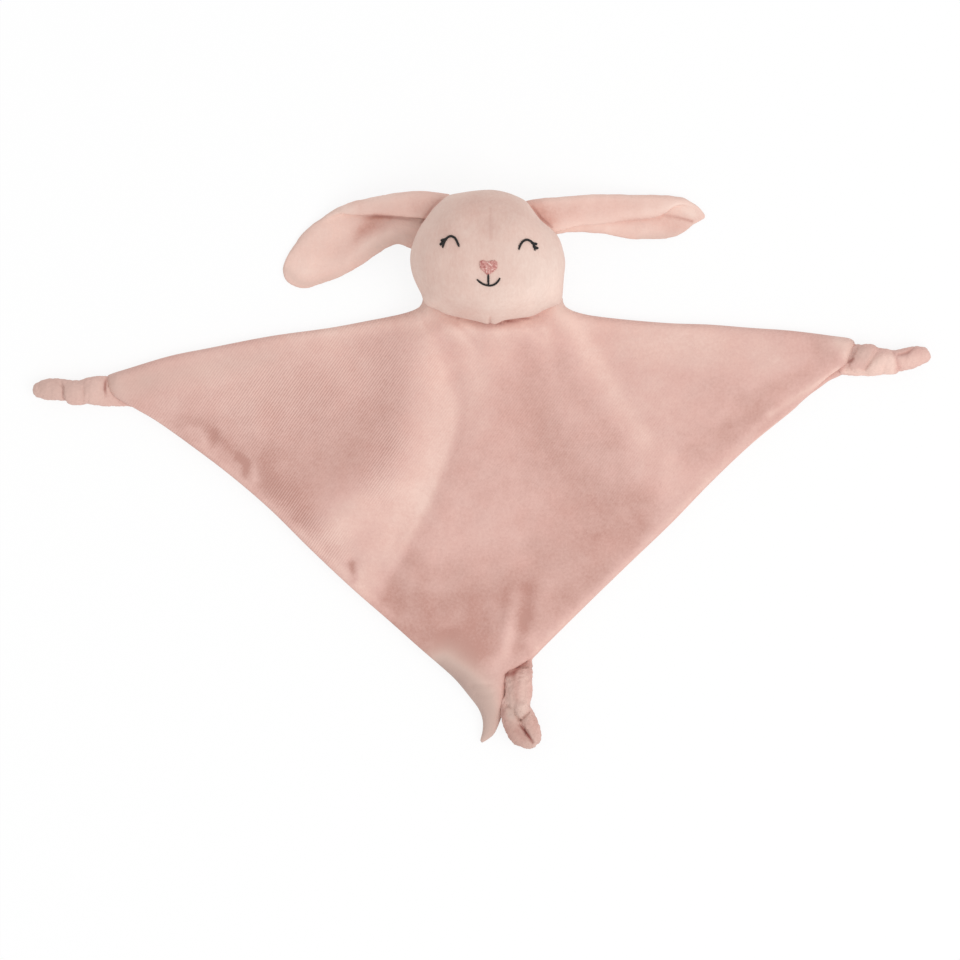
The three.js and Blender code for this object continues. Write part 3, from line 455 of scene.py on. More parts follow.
# Ears: how their layers and sections are made.
EAR_THICKNESS = 0.0026
EAR_SWELL = 0.0008
EAR_FOLD_TURN = math.radians(186)
EAR_GRAIN = 0.00065
EAR_STATIONS = 150
EAR_ACROSS = 84
EAR_FLAT_POINTS = 25
EAR_BEND_POINTS = 24
EAR_LID_POINTS = 20
EAR_FOLD_MOST = 0.46
EAR_FOLD_LEAST = 0.0004
EAR_FOLD_CLOSING = 0.0005
EAR_FLAP_LEAST = 0.0003
EAR_LID_SWELL = 0.0010
EAR_LID_FULL = 0.01
EAR_DROOP = 0.0032
EAR_DROOP_BASE = 0.012
EAR_DROOP_REACH = 0.0065
EAR_CREASE_EDGE = 0.005
EAR_ROUND = 0.6
EAR_SWELL_EDGE = 0.008
EAR_HILLS = [(0.0005, 0.02, 5), (0.00022, 0.006, 6)]
# Pairs of points on the upper and the lower outline from the head to the tip, the width of the
# turned-in flap, the height of the underside, and the radius of the fold, in millimetres.
LEFT_EAR = [
    ((-19, 61.5), (-28, 33), 14, 16.5, 4.6), ((-33, 62.8), (-37.5, 33.8), 13.4, 16, 4.6),
    ((-45, 62.3), (-46, 36.7), 11.7, 13.5, 4.6), ((-57.5, 60.5), (-55, 33), 9.4, 9, 4.4),
    ((-69, 57.9), (-64.5, 26), 6.6, 4.8, 3.9), ((-76.5, 54.8), (-72, 21.6), 2.6, 2.4, 2.8),
    ((-83, 50.7), (-78.5, 18.7), 1.8, 1.1, 2.1), ((-90, 45.6), (-86.3, 16), 1.6, 0.4, 1.75),
    ((-96.4, 38.4), (-92.6, 14.6), 0.8, 0, 1.5), ((-101.2, 31.4), (-98, 15.8), 0.6, 0, 1.4),
    ((-103.2, 26.8), (-101.6, 18.4), 0.4, 0, 1.4), ((-103.7, 23.8), (-103.2, 21.4), 0.3, 0, 1.4),
]
RIGHT_EAR = [
    ((16, 57.6), (28, 40), 19, 16.5, 3.6), ((27.5, 59.3), (35, 42.2), 17.8, 16, 3.6),
    ((40, 60.6), (44, 43), 15.6, 13, 3.6), ((55, 61.6), (56.5, 42), 14.8, 8, 3.6),
    ((67.5, 61.4), (70, 39.2), 13, 4.2, 3.6), ((79, 61.5), (82.5, 39.2), 11.4, 1.6, 3.6),
    ((85, 61.4), (88.5, 39.6), 9.9, 0.9, 3.6), ((90, 61.1), (93, 40.6), 6.2, 0.5, 3.5),
    ((95.5, 60.2), (96, 42.2), 3.8, 0.2, 2.8), ((100, 58.2), (98.4, 43.6), 2.6, 0, 2.3),
    ((103.6, 56.2), (99.9, 44.8), 2.0, 0, 1.9), ((106, 53.6), (101.1, 45.8), 1.7, 0, 1.7),
    ((106.8, 50.8), (102, 46.6), 1.5, 0, 1.5), ((105.6, 48.8), (102.8, 47), 1.0, 0, 1.2),
    ((104.4, 47.9), (103.4, 47.4), 0.4, 0, 0.6),
]

# Creases of the ears, given as the folds are.
LEFT_EAR_CREASES = [
    ([(-47, 47), (-58, 47.5), (-68, 43)], (-0.8, -1.6, -1.1), 6, 7),
    ([(-84, 44), (-92, 28)], (0.9, 1.0), 8), ([(-49, 43.5), (-60, 38), (-70, 29)], (0.5, 0.8, 0.6), 5),
]
RIGHT_EAR_CREASES = [
    ([(86.5, 51.6), (93, 50.6), (101, 48.3)], (-0.6, -1.0, -1.2), 1.1),
    ([(88, 53), (94, 53.4), (99, 51.5)], (-0.5, -0.8, -0.6), 2.5),
    ([(62, 45), (90, 46)], (-0.6, -0.8), 3.5),
]

# Rear cloth: where it shows beyond the front one, in millimetres.
REAR_RIGHT_END = [
    (178, -20), (180.5, -24), (179.5, -27.2), (176.5, -28.1), (173, -29.8), (169.5, -31.4), (165, -34.7),
    (160, -38.3), (155, -42.6),
]
# Nap of the rear cloth, lighter along its lower right hem, with painted shade under the front cloth's lower
# edge.
REAR_NAP_AND_SHADE = [
    ([(150, -46), (100, -90), (50, -140), (22, -172)], (0.5, 0.5, 0.5, 0.3), 5),
    ([(20, -174), (4, -175)], -1.2, 3),
]
REAR_BOTTOM = [
    (21, -171), (21.4, -174.2), (19.5, -176), (14, -176.6), (8, -175.6), (-4, -174.5), (-18, -173),
]
REAR_SPACING = 0.0024
REAR_RIMS = (0.0002, 0.0006, 0.0012, 0.002, 0.0032)
REAR_ROUND = 0.0016
REAR_HILLS = [(0.00025, 0.02, 9)]
REAR_FOLD_GAP = 0.0002
REAR_FOLD_SLACK = 0.0004
REAR_FOLD_STEP = 4
REAR_HEM_START = 3
REAR_RIGHT_SHIFT = (0.0005, -0.0004)
REAR_LEFT_SHIFT = (0.0009, 0.0007)
REAR_END_SHIFT = (0.004, 0.003)

# Creases across the loose corner, given as the folds are.
CLAW_CREASES = [
    ([(-9.5, -183.6), (-1, -184)], (-1.1, -0.8), 0.8, 1.2),
    ([(-7.5, -188), (0.5, -188.4)], (-0.9, -0.7), 0.8, 1.2),
    ([(-16, -178), (-4, -190), (-2, -204)], (0.5, 0.7, 0.5), 4), ([(2, -180), (3, -195)], (0.4, 0.3), 2),
]

# Knots: how tubes and bands of tied cloth are made.
KNOT_GRAIN = 0.0005
TUBE_STEP = 0.0008
TUBE_LEAST = 8
TUBE_END = (0.97, 0.8, 0.5)
BAND_TURNS = 72
BAND_SIDES = 16
KNOT_HILLS = [(0.0004, 0.006, 7), (0.00026, 0.0015, 8)]
REAR_KNOT_HILLS = [(0.0004, 0.006, 7), (0.0004, 0.0018, 8), (0.00022, 0.0009, 9)]
# Strands of the tied cloth, each a row of x, y and height of its middle, and of its half width and
# half height, in millimetres.
LEFT_KNOT = [
    [(-176, -40, 2, 4.6, 1.5), (-184, -38.2, 2.6, 6.2, 2.1), (-189.5, -37, 3.6, 7.4, 2.8),
     (-195, -36.5, 6, 7.5, 5), (-200, -36.6, 6.8, 6.9, 6), (-206, -37.2, 6.4, 5.2, 5.2)],
    [(-206, -36.5, 6.2, 5.2, 5), (-212, -36.2, 6.2, 5.2, 5), (-217, -35.7, 6, 5.5, 5.1),
     (-222, -35.8, 5.4, 5.2, 4.6), (-225, -36, 4.6, 4, 3.6)],
]
RIGHT_KNOT = [
    [(168, -21, 2, 5, 1.5), (175, -21, 2.8, 6, 2.2), (181, -20.2, 4.6, 7, 4.3), (186, -20.5, 6, 7.2, 5.2),
     (192, -21.2, 6.6, 6.6, 5.4), (200, -21.4, 6.2, 5.6, 5)],
    [(199, -21.5, 6, 5.4, 4.8), (205, -21.2, 5.8, 5.6, 4.9), (211, -19.7, 5.6, 5.3, 4.6),
     (216, -18.7, 5, 4.5, 4)],
    [(176, -26.4, 2.6, 2, 2.2), (183, -26.8, 3, 2.2, 2.6), (190, -26.6, 3.6, 2.3, 3),
     (198, -26.2, 4.4, 2.3, 3.2)],
]
REAR_KNOT = [
    [(14.4, -167, 1.8, 5, 1.4), (14.4, -173, 2.6, 6.6, 2.2), (14.3, -178.5, 5.4, 7, 4.6),
     (14.3, -185, 6.8, 6.9, 5.8), (14, -191, 7, 6.6, 6), (13.4, -196, 6.6, 5.8, 5.2)],
    [(14.2, -190.8, 11, 2.6, 2.2), (15.6, -194.2, 11.8, 3.2, 2.8), (15.4, -197.6, 10.4, 2.6, 2.6)],
    [(9, -192, 6, 3.7, 3.8), (9.9, -198.6, 6.9, 4.4, 4.9), (11.8, -204, 6.8, 4.9, 5.1),
     (14.8, -208.8, 6.4, 4.9, 4.9), (19, -211.4, 6, 4, 4.4), (21.4, -210.6, 6, 3.6, 4.2)],
    [(17.3, -195, 7.4, 3.2, 4), (18.9, -200, 7.8, 3.8, 4.8), (21, -205.2, 7.4, 4, 4.9),
     (21.9, -209.4, 6.6, 3.9, 4.4)],
]
# Creases pressed into the knots, given as the folds are.
KNOT_CREASES = [
    ([(-218.4, -30.6), (-214.5, -31.9), (-213, -35.2), (-213.3, -39.4), (-211.8, -42)],
     (-0.4, -0.8, -1.0, -1.0, -0.8), 0.5, 0.6),
    ([(-202.5, -31), (-203.1, -36.4), (-202.8, -43)], (-0.4, -0.6, -0.9), 0.6),
    ([(-200.5, -38.5), (-200.8, -44)], (-0.5, -0.8), 0.6),
    ([(-204.6, -39), (-204.4, -44)], (-0.5, -0.8), 0.6),
    ([(-191.4, -29.5), (-192.2, -32.5), (-192.4, -36), (-191.6, -39)], (-0.4, -1.4, -1.4, -0.4), 0.8),
    ([(195.5, -14.7), (192, -18), (189.5, -21), (187, -26)], (-0.2, -0.4, -0.5, -0.5), 1.0),
    ([(192, -14.6), (191, -18)], (-0.6, -0.5), 0.6),
    ([(201, -17.5), (202, -19.5), (203.5, -25.5)], (-1.0, -1.6, -1.4), 0.6, 1.0),
    ([(204, -18.4), (208, -17.6), (211.5, -15.2)], (-1.0, -1.3, -0.7), 0.8, 1.2),
    ([(180, -24), (185, -25), (189, -26.6)], (-1.0, -1.2, -0.8), 0.7),
    ([(14.8, -203.1), (17, -205.8), (19.4, -209), (21.3, -212)], (-0.9, -1.5, -1.5, -0.8), 0.6, 0.7),
    ([(12.2, -194.5), (12.4, -198), (15.5, -200.6), (19.4, -197)], (-0.5, -1.2, -1.5, -1.0), 0.7),
    ([(6.5, -193.2), (10, -194.4), (12.3, -196)], (-0.8, -1.2, -0.8), 0.8),
    ([(12, -180), (16, -186)], -0.5, 1.2), ([(18, -181), (17, -188)], (-0.5, -0.6), 1),
]
# Bands wrapped round a knot: x, y and height of the middle, reach sideways and upwards, half width and half
# thickness of the band, its slant from the upper to the lower side, and the heading of the knot in degrees.
LEFT_WRAPS = [(-207.2, -37.8, 6.8, 4.2, 4.6, 5.4, 1.9, -1.2, 180)]
RIGHT_WRAPS = [
    (186.3, -19.6, 6.8, 4.6, 4.8, 4.7, 2, 2.2, 0), (194.4, -22.1, 6.8, 4.6, 4.8, 4.6, 1.9, 3.2, 0),
    (198.7, -21.9, 6.5, 4.8, 4.7, 4.2, 1.8, -1.2, 0),
]
NECK_BUNCH = [
    [(-13.5, -0.5, 4.6, 2.2, 0.9), (-12.5, -6, 6, 2.8, 1.6), (-12, -11, 6, 2.2, 1.2)],
    [(-8, -0.5, 5.4, 2.4, 1.4), (-7.5, -6, 6.8, 3, 2.4), (-7.5, -11.5, 6.6, 2.4, 1.8)],
    [(-2, -0.5, 5.6, 2.6, 1.6), (-2, -6, 6.9, 3.2, 2.4), (-2, -11.5, 6.8, 2.6, 1.8)],
    [(4, -0.5, 5.4, 2.4, 1.5), (4, -6, 6.9, 3, 2.4), (4, -11.5, 6.7, 2.4, 1.8)],
    [(10, -0.5, 5, 2.4, 1.1), (9.5, -6, 6.4, 2.8, 2), (9.5, -11, 6.2, 2.4, 1.5)],
]

# Embroidery: how a line of stitches is laid.
STITCH_RADIUS = 0.0005
STITCH_LENGTH = 0.0015
STITCH_PITCH = 0.0005
STITCH_SLANT = 0.42
STITCH_SIDES = 8
# Places along a stitch, and its thickness there.
STITCH_SHAPE = [(0.0, 0.35), (0.1, 0.75), (0.25, 1.0), (0.5, 1.06), (0.75, 1.0), (0.9, 0.75), (1.0, 0.35)]
STITCH_LINE_STEP = 0.0001
STITCH_LOOK = 0.0004
STITCH_END = 0.75
STITCH_LIFT = 0.75
STITCH_UNEVEN = 0.1
STITCH_RHYTHM = 2.4
MOUTH_WIDTH = 0.88
# The stitched lines, in millimetres, laid on the face.
LEFT_LID = [
    (-23.5, 35.5), (-22.9, 37.5), (-21.8, 39.5), (-19.8, 40.8), (-17.8, 40.2), (-16.6, 38.6), (-15.6, 36),
]
LEFT_LASHES = [
    [(-21.8, 39.2), (-22.9, 39.2), (-24.1, 38.9)], [(-21.9, 38.9), (-22.9, 38.8), (-23.8, 38.5)],
    [(-22.8, 37.6), (-23.8, 37.5), (-24.7, 37)], [(-22.9, 37.2), (-23.7, 37), (-24.4, 36.6)],
]
RIGHT_LID = [
    (14.4, 34.5), (15, 36.3), (16.4, 38.2), (18.4, 39), (20.6, 38), (21.8, 36.3), (22.3, 34.1),
]
RIGHT_LASHES = [
    [(20.9, 37.6), (22, 37.2), (23, 37)], [(21, 37.2), (22, 36.8), (22.8, 36.6)],
    [(21.8, 35.8), (22.8, 35.2), (23.6, 34.9)], [(21.8, 35.4), (22.6, 34.8), (23.3, 34.6)],
]
MOUTH_LINE = [
    (-0.8, 21.8), (-0.8, 19.2), (-0.8, 16.5),
]
SMILE = [
    (-6.2, 19.1), (-4.8, 17.9), (-2.8, 16.8), (-0.2, 16.3), (2.1, 16.8), (3.8, 18.2), (4.9, 19.7),
]
NOSE_OUTLINE = [
    (-4.2, 28.5), (-2.4, 28.2), (-0.9, 27.8), (0.6, 28.3), (2.2, 28.4), (3.7, 27.2), (3.3, 25.4),
    (1.5, 23.7), (-0.8, 22), (-3, 23.7), (-4.7, 25.5), (-5, 27.3),
]
NOSE_PITCH = 0.0005
NOSE_RADIUS = 0.00036
NOSE_LINE_STEP = 0.0002
NOSE_COLUMN = 0.0003
NOSE_RIGHT_GAP = 0.0002
NOSE_UNEVEN = 0.00018
NOSE_LOW_RHYTHM = 5.1
NOSE_HIGH_RHYTHM = 3.7
# Where the arch of a stitch starts, and how much of it shows, in shares of a half turn.
NOSE_ARCH = (0.08, 0.84)
NOSE_LEAST = 0.0008
NOSE_STEPS = 12
NOSE_SWELL = 0.0005
NOSE_HALF_WIDTH = 0.006
NOSE_WANDER = 0.00012
NOSE_WAVES = 7

# Colours, written as linear values of the finish, from deep to light.
CLOTH_TONES = [
    (0.53, 0.29, 0.245), (0.625, 0.38, 0.33), (0.715, 0.455, 0.402), (0.775, 0.52, 0.455),
    (0.845, 0.60, 0.525),
]
HEAD_TONES = [
    (0.60, 0.388, 0.333), (0.685, 0.468, 0.403), (0.745, 0.546, 0.476), (0.80, 0.616, 0.541),
    (0.87, 0.69, 0.61),
]
EAR_TONES = [
    (0.57, 0.30, 0.24), (0.69, 0.41, 0.345), (0.775, 0.52, 0.45), (0.825, 0.585, 0.51), (0.87, 0.65, 0.57),
]
BLUSH = (1.0, 0.95, 0.94)
# Below: the greyer nap, which also serves as painted shade, then the painted shade that it turns to, and
# the painted shade where cloth lies against cloth.
ASH_AND_SHADE_TONE = (0.665, 0.485, 0.42)
SHADE_TONE = (0.44, 0.31, 0.271)
SHADE_FROM = 0.7
PAINTED_SHADE_TONE = (0.32, 0.09, 0.075)
THREAD_DARK = [(0.003, 0.0025, 0.0025), (0.012, 0.010, 0.010)]
THREAD_ROSE = [(0.44, 0.14, 0.125), (0.56, 0.235, 0.21), (0.66, 0.34, 0.30), (0.90, 0.68, 0.62)]
THREAD_PINK = [(0.62, 0.39, 0.34), (0.74, 0.50, 0.45)]
PAINTED_NAP_AND_SHADE_SHARE = 0.40
GRAIN_SHARE = 0.26
PILE_SHARE = 0.46
PILE_SIZE = 0.0007
KNOT_PILE_SIZE = 0.0009
RIB_SHARE = 0.52
RIB_PITCH = 0.00122
RIB_TURN = 35
PATCH_SIZE = 0.016
NAP_SIZE = 0.0035
NAP_BUMP = 0.8
RIB_BUMP = 1.4
RIB_WARP = 1.2
RIB_WARP_SIZE = 0.4
BLUSH_SIZE = 0.009
BLUSH_FROM = 0.9
BLUSH_CONTRAST = 2.4
VELOUR_BUMP = 0.35
VELOUR_BUMP_DEPTH = 0.0005
VELOUR_SURFACE = {
    "Roughness": 0.95, "Specular IOR Level": 0.15, "Sheen Weight": 0.12, "Sheen Roughness": 0.5,
}
THREAD_BUMP = 0.4
THREAD_BUMP_DEPTH = 0.0002
# The strokes that a piece keeps for its material to read, with the least and the most that they add up to:
# the nap with painted light and shade, the greyer nap that turns to painted shade, the ribs, and painted
# shade.
STROKE_LIMITS = {"nap": (-math.inf, math.inf), "ash_and_shade": (0, 2), "ribs": (0, 1), "painted_shade": (0, 1)}


def ease(value):
    """Smooth step from 0 to 1."""
    held = np.clip(value, 0.0, 1.0)
    return held * held * (3 - 2 * held)


def bell(distance, width):
    """A soft hill: 1 in the middle, falling off over width."""
    return np.exp(-((distance / width) ** 2))


def rounded(share):
    """Height of a rounded edge: 0 at share 0, 1 from share 1 on."""
    return np.sqrt(1 - (1 - np.clip(share, 0, 1)) ** 2)


def spline(p0, p1, p2, p3, t):
    """A Catmull-Rom curve from p1 to p2."""
    return 0.5 * (2 * p1 + (p2 - p0) * t + (2 * p0 - 5 * p1 + 4 * p2 - p3) * t**2
                  + (3 * p1 - p0 - 3 * p2 + p3) * t**3)


def wing(share):
    return share * (LEFT_WING if share < 0 else RIGHT_WING)


def placed(shares):
    """Points of an outline in metres, from shares of the wings and of the drop."""
    return [(wing(x), y * CLOTH_DROP) for x, y in shares]


def smooth_through(points, step, closed=False):
    """A smooth curve through points, sampled about every step."""
    points = [np.array(p, float) for p in points]
    count = len(points)
    made = []
    for i in range(count if closed else count - 1):
        around = [(i + k) % count if closed else min(max(i + k, 0), count - 1) for k in (-1, 0, 1, 2)]
        corners = [points[k] for k in around]
        pieces = max(int(np.linalg.norm(corners[2] - corners[1]) / step), 1)
        made += [spline(*corners, k / pieces) for k in range(pieces)]
    if not closed:
        made.append(points[-1])
    return np.array(made)


def through(rows, count):
    """Rows of numbers, smoothly interpolated at count even steps."""
    rows = np.array(rows, float)
    place = np.linspace(0, len(rows) - 1, count)
    index = np.minimum(place.astype(int), len(rows) - 2)
    corners = [rows[np.clip(index + k, 0, len(rows) - 1)] for k in (-1, 0, 1, 2)]
    return spline(*corners, (place - index)[:, None])


def distance_to(points, line):
    """Distance from each of points to a line of straight pieces."""
    start, end = line[:-1], line[1:]
    along = end - start
    length = np.maximum((along**2).sum(1), SAME_POINT**2)
    best = np.full(len(points), np.inf)
    for s, a, l in zip(start, along, length):
        t = np.clip(((points - s) @ a) / l, 0, 1)
        gap = points - (s + t[:, None] * a)
        best = np.minimum(best, (gap**2).sum(1))
    return np.sqrt(best)


def inside(points, outline):
    """Which of points lie inside a closed outline."""
    result = np.zeros(len(points), bool)
    x, y = points[:, 0], points[:, 1]
    for (x1, y1), (x2, y2) in zip(outline, np.roll(outline, -1, axis=0)):
        if y1 == y2:
            continue
        crosses = (y1 > y) != (y2 > y)
        result ^= crosses & (x < (x2 - x1) * (y - y1) / (y2 - y1) + x1)
    return result


def rough(points, size, seed, octaves=3):
    """Smooth noise from -1 to 1 over points, with hills about size wide."""
    shift = Vector([seed * part for part in SEED_SHIFT])
    return np.array([
        noise.fractal(Vector((p[0], p[1], p[2] if len(p) > 2 else 0.0)) / size + shift, 1.0, 2.0, octaves)
        for p in points
    ])


def relief(points, rows):
    """Noise over points, summed over rows of height, size and seed."""
    return sum(height * rough(points, size, seed) for height, size, seed in rows)


def make_mesh(name, points, faces):
    mesh = bpy.data.meshes.new(name)
    mesh.from_pydata([tuple(p) for p in points], [], faces)
    mesh.update()
    obj = bpy.data.objects.new(name, mesh)
    bpy.context.collection.objects.link(obj)
    return obj


def select_only(obj):
    bpy.ops.object.select_all(action="DESELECT")
    obj.select_set(True)
    bpy.context.view_layer.objects.active = obj


def edit(obj, operator, **settings):
    """Run an operator of edit mode on a whole piece."""
    select_only(obj)
    bpy.ops.object.mode_set(mode="EDIT")
    bpy.ops.mesh.select_all(action="SELECT")
    operator(**settings)
    bpy.ops.object.mode_set(mode="OBJECT")


def outward(obj):
    edit(obj, bpy.ops.mesh.normals_make_consistent, inside=False)
    bpy.ops.object.shade_smooth()
    return obj


def coordinates(obj):
    values = np.empty(len(obj.data.vertices) * 3)
    obj.data.vertices.foreach_get("co", values)
    return values.reshape(-1, 3)


def set_coordinates(obj, points):
    obj.data.vertices.foreach_set("co", np.ascontiguousarray(points).ravel())
    obj.data.update()


def point_normals(obj):
    values = np.empty(len(obj.data.vertices) * 3)
    obj.data.vertices.foreach_get("normal", values)
    return values.reshape(-1, 3)


def modify(obj, kind, **settings):
    """Add a modifier with its settings and apply it."""
    modifier = obj.modifiers.new(kind.lower(), kind)
    for name, value in settings.items():
        setattr(modifier, name, value)
    select_only(obj)
    bpy.ops.object.modifier_apply(modifier=modifier.name)


def smooth_shading(obj, degrees=180):
    select_only(obj)
    if degrees < 180:
        bpy.ops.object.shade_smooth_by_angle(angle=math.radians(degrees))
    else:
        bpy.ops.object.shade_smooth()


def cut_in_two(obj, name, rest_name, point, direction):
    """Cut a closed piece by a plane: obj keeps the side that direction points to, rest has the other."""
    select_only(obj)
    bpy.ops.object.duplicate()
    rest = bpy.context.object
    obj.name, rest.name = name, rest_name
    for piece, side in ((obj, 1), (rest, -1)):
        edit(
            piece, bpy.ops.mesh.bisect, plane_co=point, plane_no=[side * part for part in direction],
            use_fill=True, clear_inner=True, threshold=EDGE_TOLERANCE,
        )
    return obj, rest


def grow_together(obj, grain):
    """One skin round all that a piece is made of, smoothed a little."""
    modify(obj, "REMESH", mode="VOXEL", voxel_size=grain)
    modify(obj, "SMOOTH", factor=SKIN_SMOOTHING, iterations=SKIN_ROUNDS)


def ruffle(obj, rows):
    """Move a soft piece's skin in and out by hills."""
    points = coordinates(obj)
    points = points + point_normals(obj) * relief(points, rows)[:, None]
    points[:, 2] = np.maximum(points[:, 2], LOWEST)
    set_coordinates(obj, points)
    smooth_shading(obj)


def press(obj, creases):
    """Press creases into the side of a soft piece that faces up."""
    points = coordinates(obj)
    facing = np.clip(point_normals(obj)[:, 2], 0, 1)
    points[:, 2] += strokes(points[:, :2], creases) * MM * facing
    points[:, 2] = np.maximum(points[:, 2], LOWEST)
    set_coordinates(obj, points)


def joined(name, parts):
    """One piece from parts, each given as its points and faces."""
    points, faces, start = [], [], 0
    for made, sides in parts:
        points.append(made)
        faces += [[start + i for i in face] for face in sides]
        start += len(made)
    return outward(make_mesh(name, np.vstack(points), faces))


def fill_outline(outline, spacing, rims):
    """Flat triangles that fill an outline: rows of points follow its edge, a lattice fills the middle."""
    closed = np.vstack([outline, outline[:1]])
    along = np.roll(outline, -1, axis=0) - np.roll(outline, 1, axis=0)
    along /= np.linalg.norm(along, axis=1)[:, None]
    area = np.sum(outline[:, 0] * np.roll(outline[:, 1], -1) - np.roll(outline[:, 0], -1) * outline[:, 1])
    inward = np.column_stack([-along[:, 1], along[:, 0]]) * np.sign(area)
    rows = [outline]
    for rim in rims:
        row = outline + inward * rim
        kept = inside(row, outline) & (distance_to(row, closed) > rim * RIM_KEPT)
        rows.append(row[kept])
    low, high = outline.min(0), outline.max(0)
    rise = spacing * math.sqrt(3) / 2
    lattice = np.array([
        (x, y)
        for j, y in enumerate(np.arange(low[1], high[1], rise))
        for x in np.arange(low[0] + (j % 2) * spacing / 2, high[0], spacing)
    ])
    lattice = lattice[inside(lattice, outline)]
    lattice = lattice[distance_to(lattice, closed) > rims[-1] + spacing * LATTICE_CLEARANCE]
    points = np.vstack(rows + [lattice])
    count = len(outline)
    edges = [(i, (i + 1) % count) for i in range(count)]
    found = geometry.delaunay_2d_cdt([Vector(p) for p in points], edges, [], 0, SAME_POINT)
    flat = np.array([tuple(p) for p in found[0]])
    faces = np.array([f for f in found[2] if len(f) == 3])
    return flat, faces[inside(flat[faces].mean(1), outline)]


def two_sided(name, flat, faces, top, bottom, edge):
    """A closed sheet from one flat triangulation with a top and a bottom height, joined along the edge."""
    lower = np.arange(len(flat)) + len(flat)
    lower[edge] = np.nonzero(edge)[0]
    points = np.vstack([np.column_stack([flat, top]), np.column_stack([flat, bottom])])
    used, index = np.unique(np.vstack([faces, lower[faces][:, ::-1]]), return_inverse=True)
    return outward(make_mesh(name, points[used], index.reshape(-1, 3).tolist()))


def near_line(flat, line):
    """Distance to a line, its side, 1 for the left, and the share of its length at the nearest point."""
    lengths = np.linalg.norm(np.diff(line, axis=0), axis=1)
    begins = np.concatenate([[0], np.cumsum(lengths)])
    nearest = np.full(len(flat), np.inf)
    side = np.zeros(len(flat))
    along = np.zeros(len(flat))
    for start, end, length, begin in zip(line[:-1], line[1:], lengths, begins):
        step = end - start
        t = np.clip(((flat - start) @ step) / length**2, 0, 1)
        gap = flat - (start + t[:, None] * step)
        square = (gap**2).sum(1)
        closer = square < nearest
        nearest[closer] = square[closer]
        side[closer] = np.sign(step[0] * gap[closer, 1] - step[1] * gap[closer, 0])
        along[closer] = (begin + t[closer] * length) / begins[-1]
    return np.sqrt(nearest), side, along


def strokes(flat, rows):
    """Sum of soft strokes, such as folds or brushed nap, over points of the cloth."""
    total = np.zeros(len(flat))
    for points, values, *widths in rows:
        away, side, along = near_line(flat, smooth_through(np.array(points, float) * MM, STROKE_STEP))
        values = np.atleast_1d(values)
        value = np.interp(along, np.linspace(0, 1, len(values)), values)
        total += value * bell(away, np.where(side > 0, widths[0], widths[-1]) * MM)
    return total


def fold_radius(x):
    return FOLD_RADIUS + (NECK_FOLD_RADIUS - FOLD_RADIUS) * np.exp(-((x / NECK_SPREAD) ** 4))


def make_front_cloth():
    """The yoke and the front flap in one, and the loose corner, cut off it."""
    outline = smooth_through(placed(FOLD_SHARES + HEM_SHARES), OUTLINE_STEP, closed=True)
    flat, faces = fill_outline(outline, FRONT_SPACING, FRONT_RIMS)
    from_fold = distance_to(flat, smooth_through(placed(FOLD_SHARES), EDGE_STEP))
    from_hem = distance_to(flat, smooth_through(placed(HEM_SHARES), EDGE_STEP))
    edge = distance_to(flat, np.vstack([outline, outline[:1]])) < EDGE_TOLERANCE
    x, y = flat[:, 0], flat[:, 1]
    radius = fold_radius(x)
    inner = np.maximum(from_fold - radius, 0)

    rolled = (2 * radius - CLOTH_TOP) * bell(inner, 2 * FOLD_REACH)
    puff = NECK_PUFF * np.exp(-((x / NECK_PUFF_SIDEWAYS) ** 2) - ((inner / NECK_PUFF_DOWN) ** 2))
    ends = WING_END_PUFF * (bell(x + LEFT_WING, WING_END_REACH) + bell(x - RIGHT_WING, WING_END_REACH))
    raised = FOLD_BASE + strokes(flat, FOLDS) * MM + relief(flat, FRONT_HILLS)
    raised = 0.5 * (raised + np.sqrt(raised**2 + VALLEY_ROUND**2))
    low_hem = HEM_FOLDS + (1 - HEM_FOLDS) * ease((from_hem - HEM_FLAT) / HEM_SLOPE)
    share = ease((inner + FOLD_SLOPE_START) / FOLD_SLOPE) * low_hem
    full = (CLOTH_TOP + rolled + puff * ease(inner / FOLD_REACH) + raised * share
            + ends * ease(from_hem / WING_END_SLOPE))
    for rise_x, rise_y, spread, rise in NECK_RISES:
        full += rise * MM * bell(np.hypot(x - rise_x * MM, y - rise_y * MM), spread * MM)

    claw = ease((-y - CLAW_START) / CLAW_BLEND) * (x < CLAW_RIGHT)
    claw_top = CLAW_HEIGHT - CLAW_FALL * ease((-y - CLAW_FALL_START) / CLAW_FALL_LENGTH)
    claw_top = claw_top + strokes(flat, CLAW_CREASES) * MM
    full = full * (1 - claw) + claw_top * claw
    layer = LAYER + HEM_RISE * bell(from_hem - HEM_BAND * HEM_BAND_MIDDLE, HEM_BAND * HEM_BAND_SPREAD)
    under = np.maximum(full - layer, 2 * LAYER_GAP + LAYER)
    under = under * (1 - claw) + CLAW_UNDERSIDE * claw
    under = under * (1 - ease((FOLD_TURN_UNDER - from_fold) / TURN_UNDER_BLEND))

    hem_profile = rounded(from_hem / (HEM_ROUND * (1 + CLAW_ROUNDER * claw)))
    fold_profile = rounded(from_fold / radius)
    middle = (full + under) / 2
    top = middle + (full - middle) * hem_profile
    bottom = middle - (middle - under) * hem_profile
    top = np.minimum(top, radius + (full - radius) * fold_profile)
    low_edge = radius * (1 - fold_profile)
    bottom = np.where(from_fold < FOLD_TURN_UNDER, np.minimum(np.maximum(bottom, low_edge), top), bottom)
    bottom = np.minimum(bottom, top - LEAST_THICKNESS)
    top[edge] = ((top + bottom) / 2)[edge]
    cloth = two_sided("front_cloth", flat, faces, top, bottom, edge)
    pieces = cut_in_two(cloth, "front_cloth", "loose_corner", (0, -CORNER_CUT, 0), (0, 1, 0))
    for piece in pieces:
        smooth_shading(piece, CLOTH_SMOOTH_ANGLE)
    return pieces


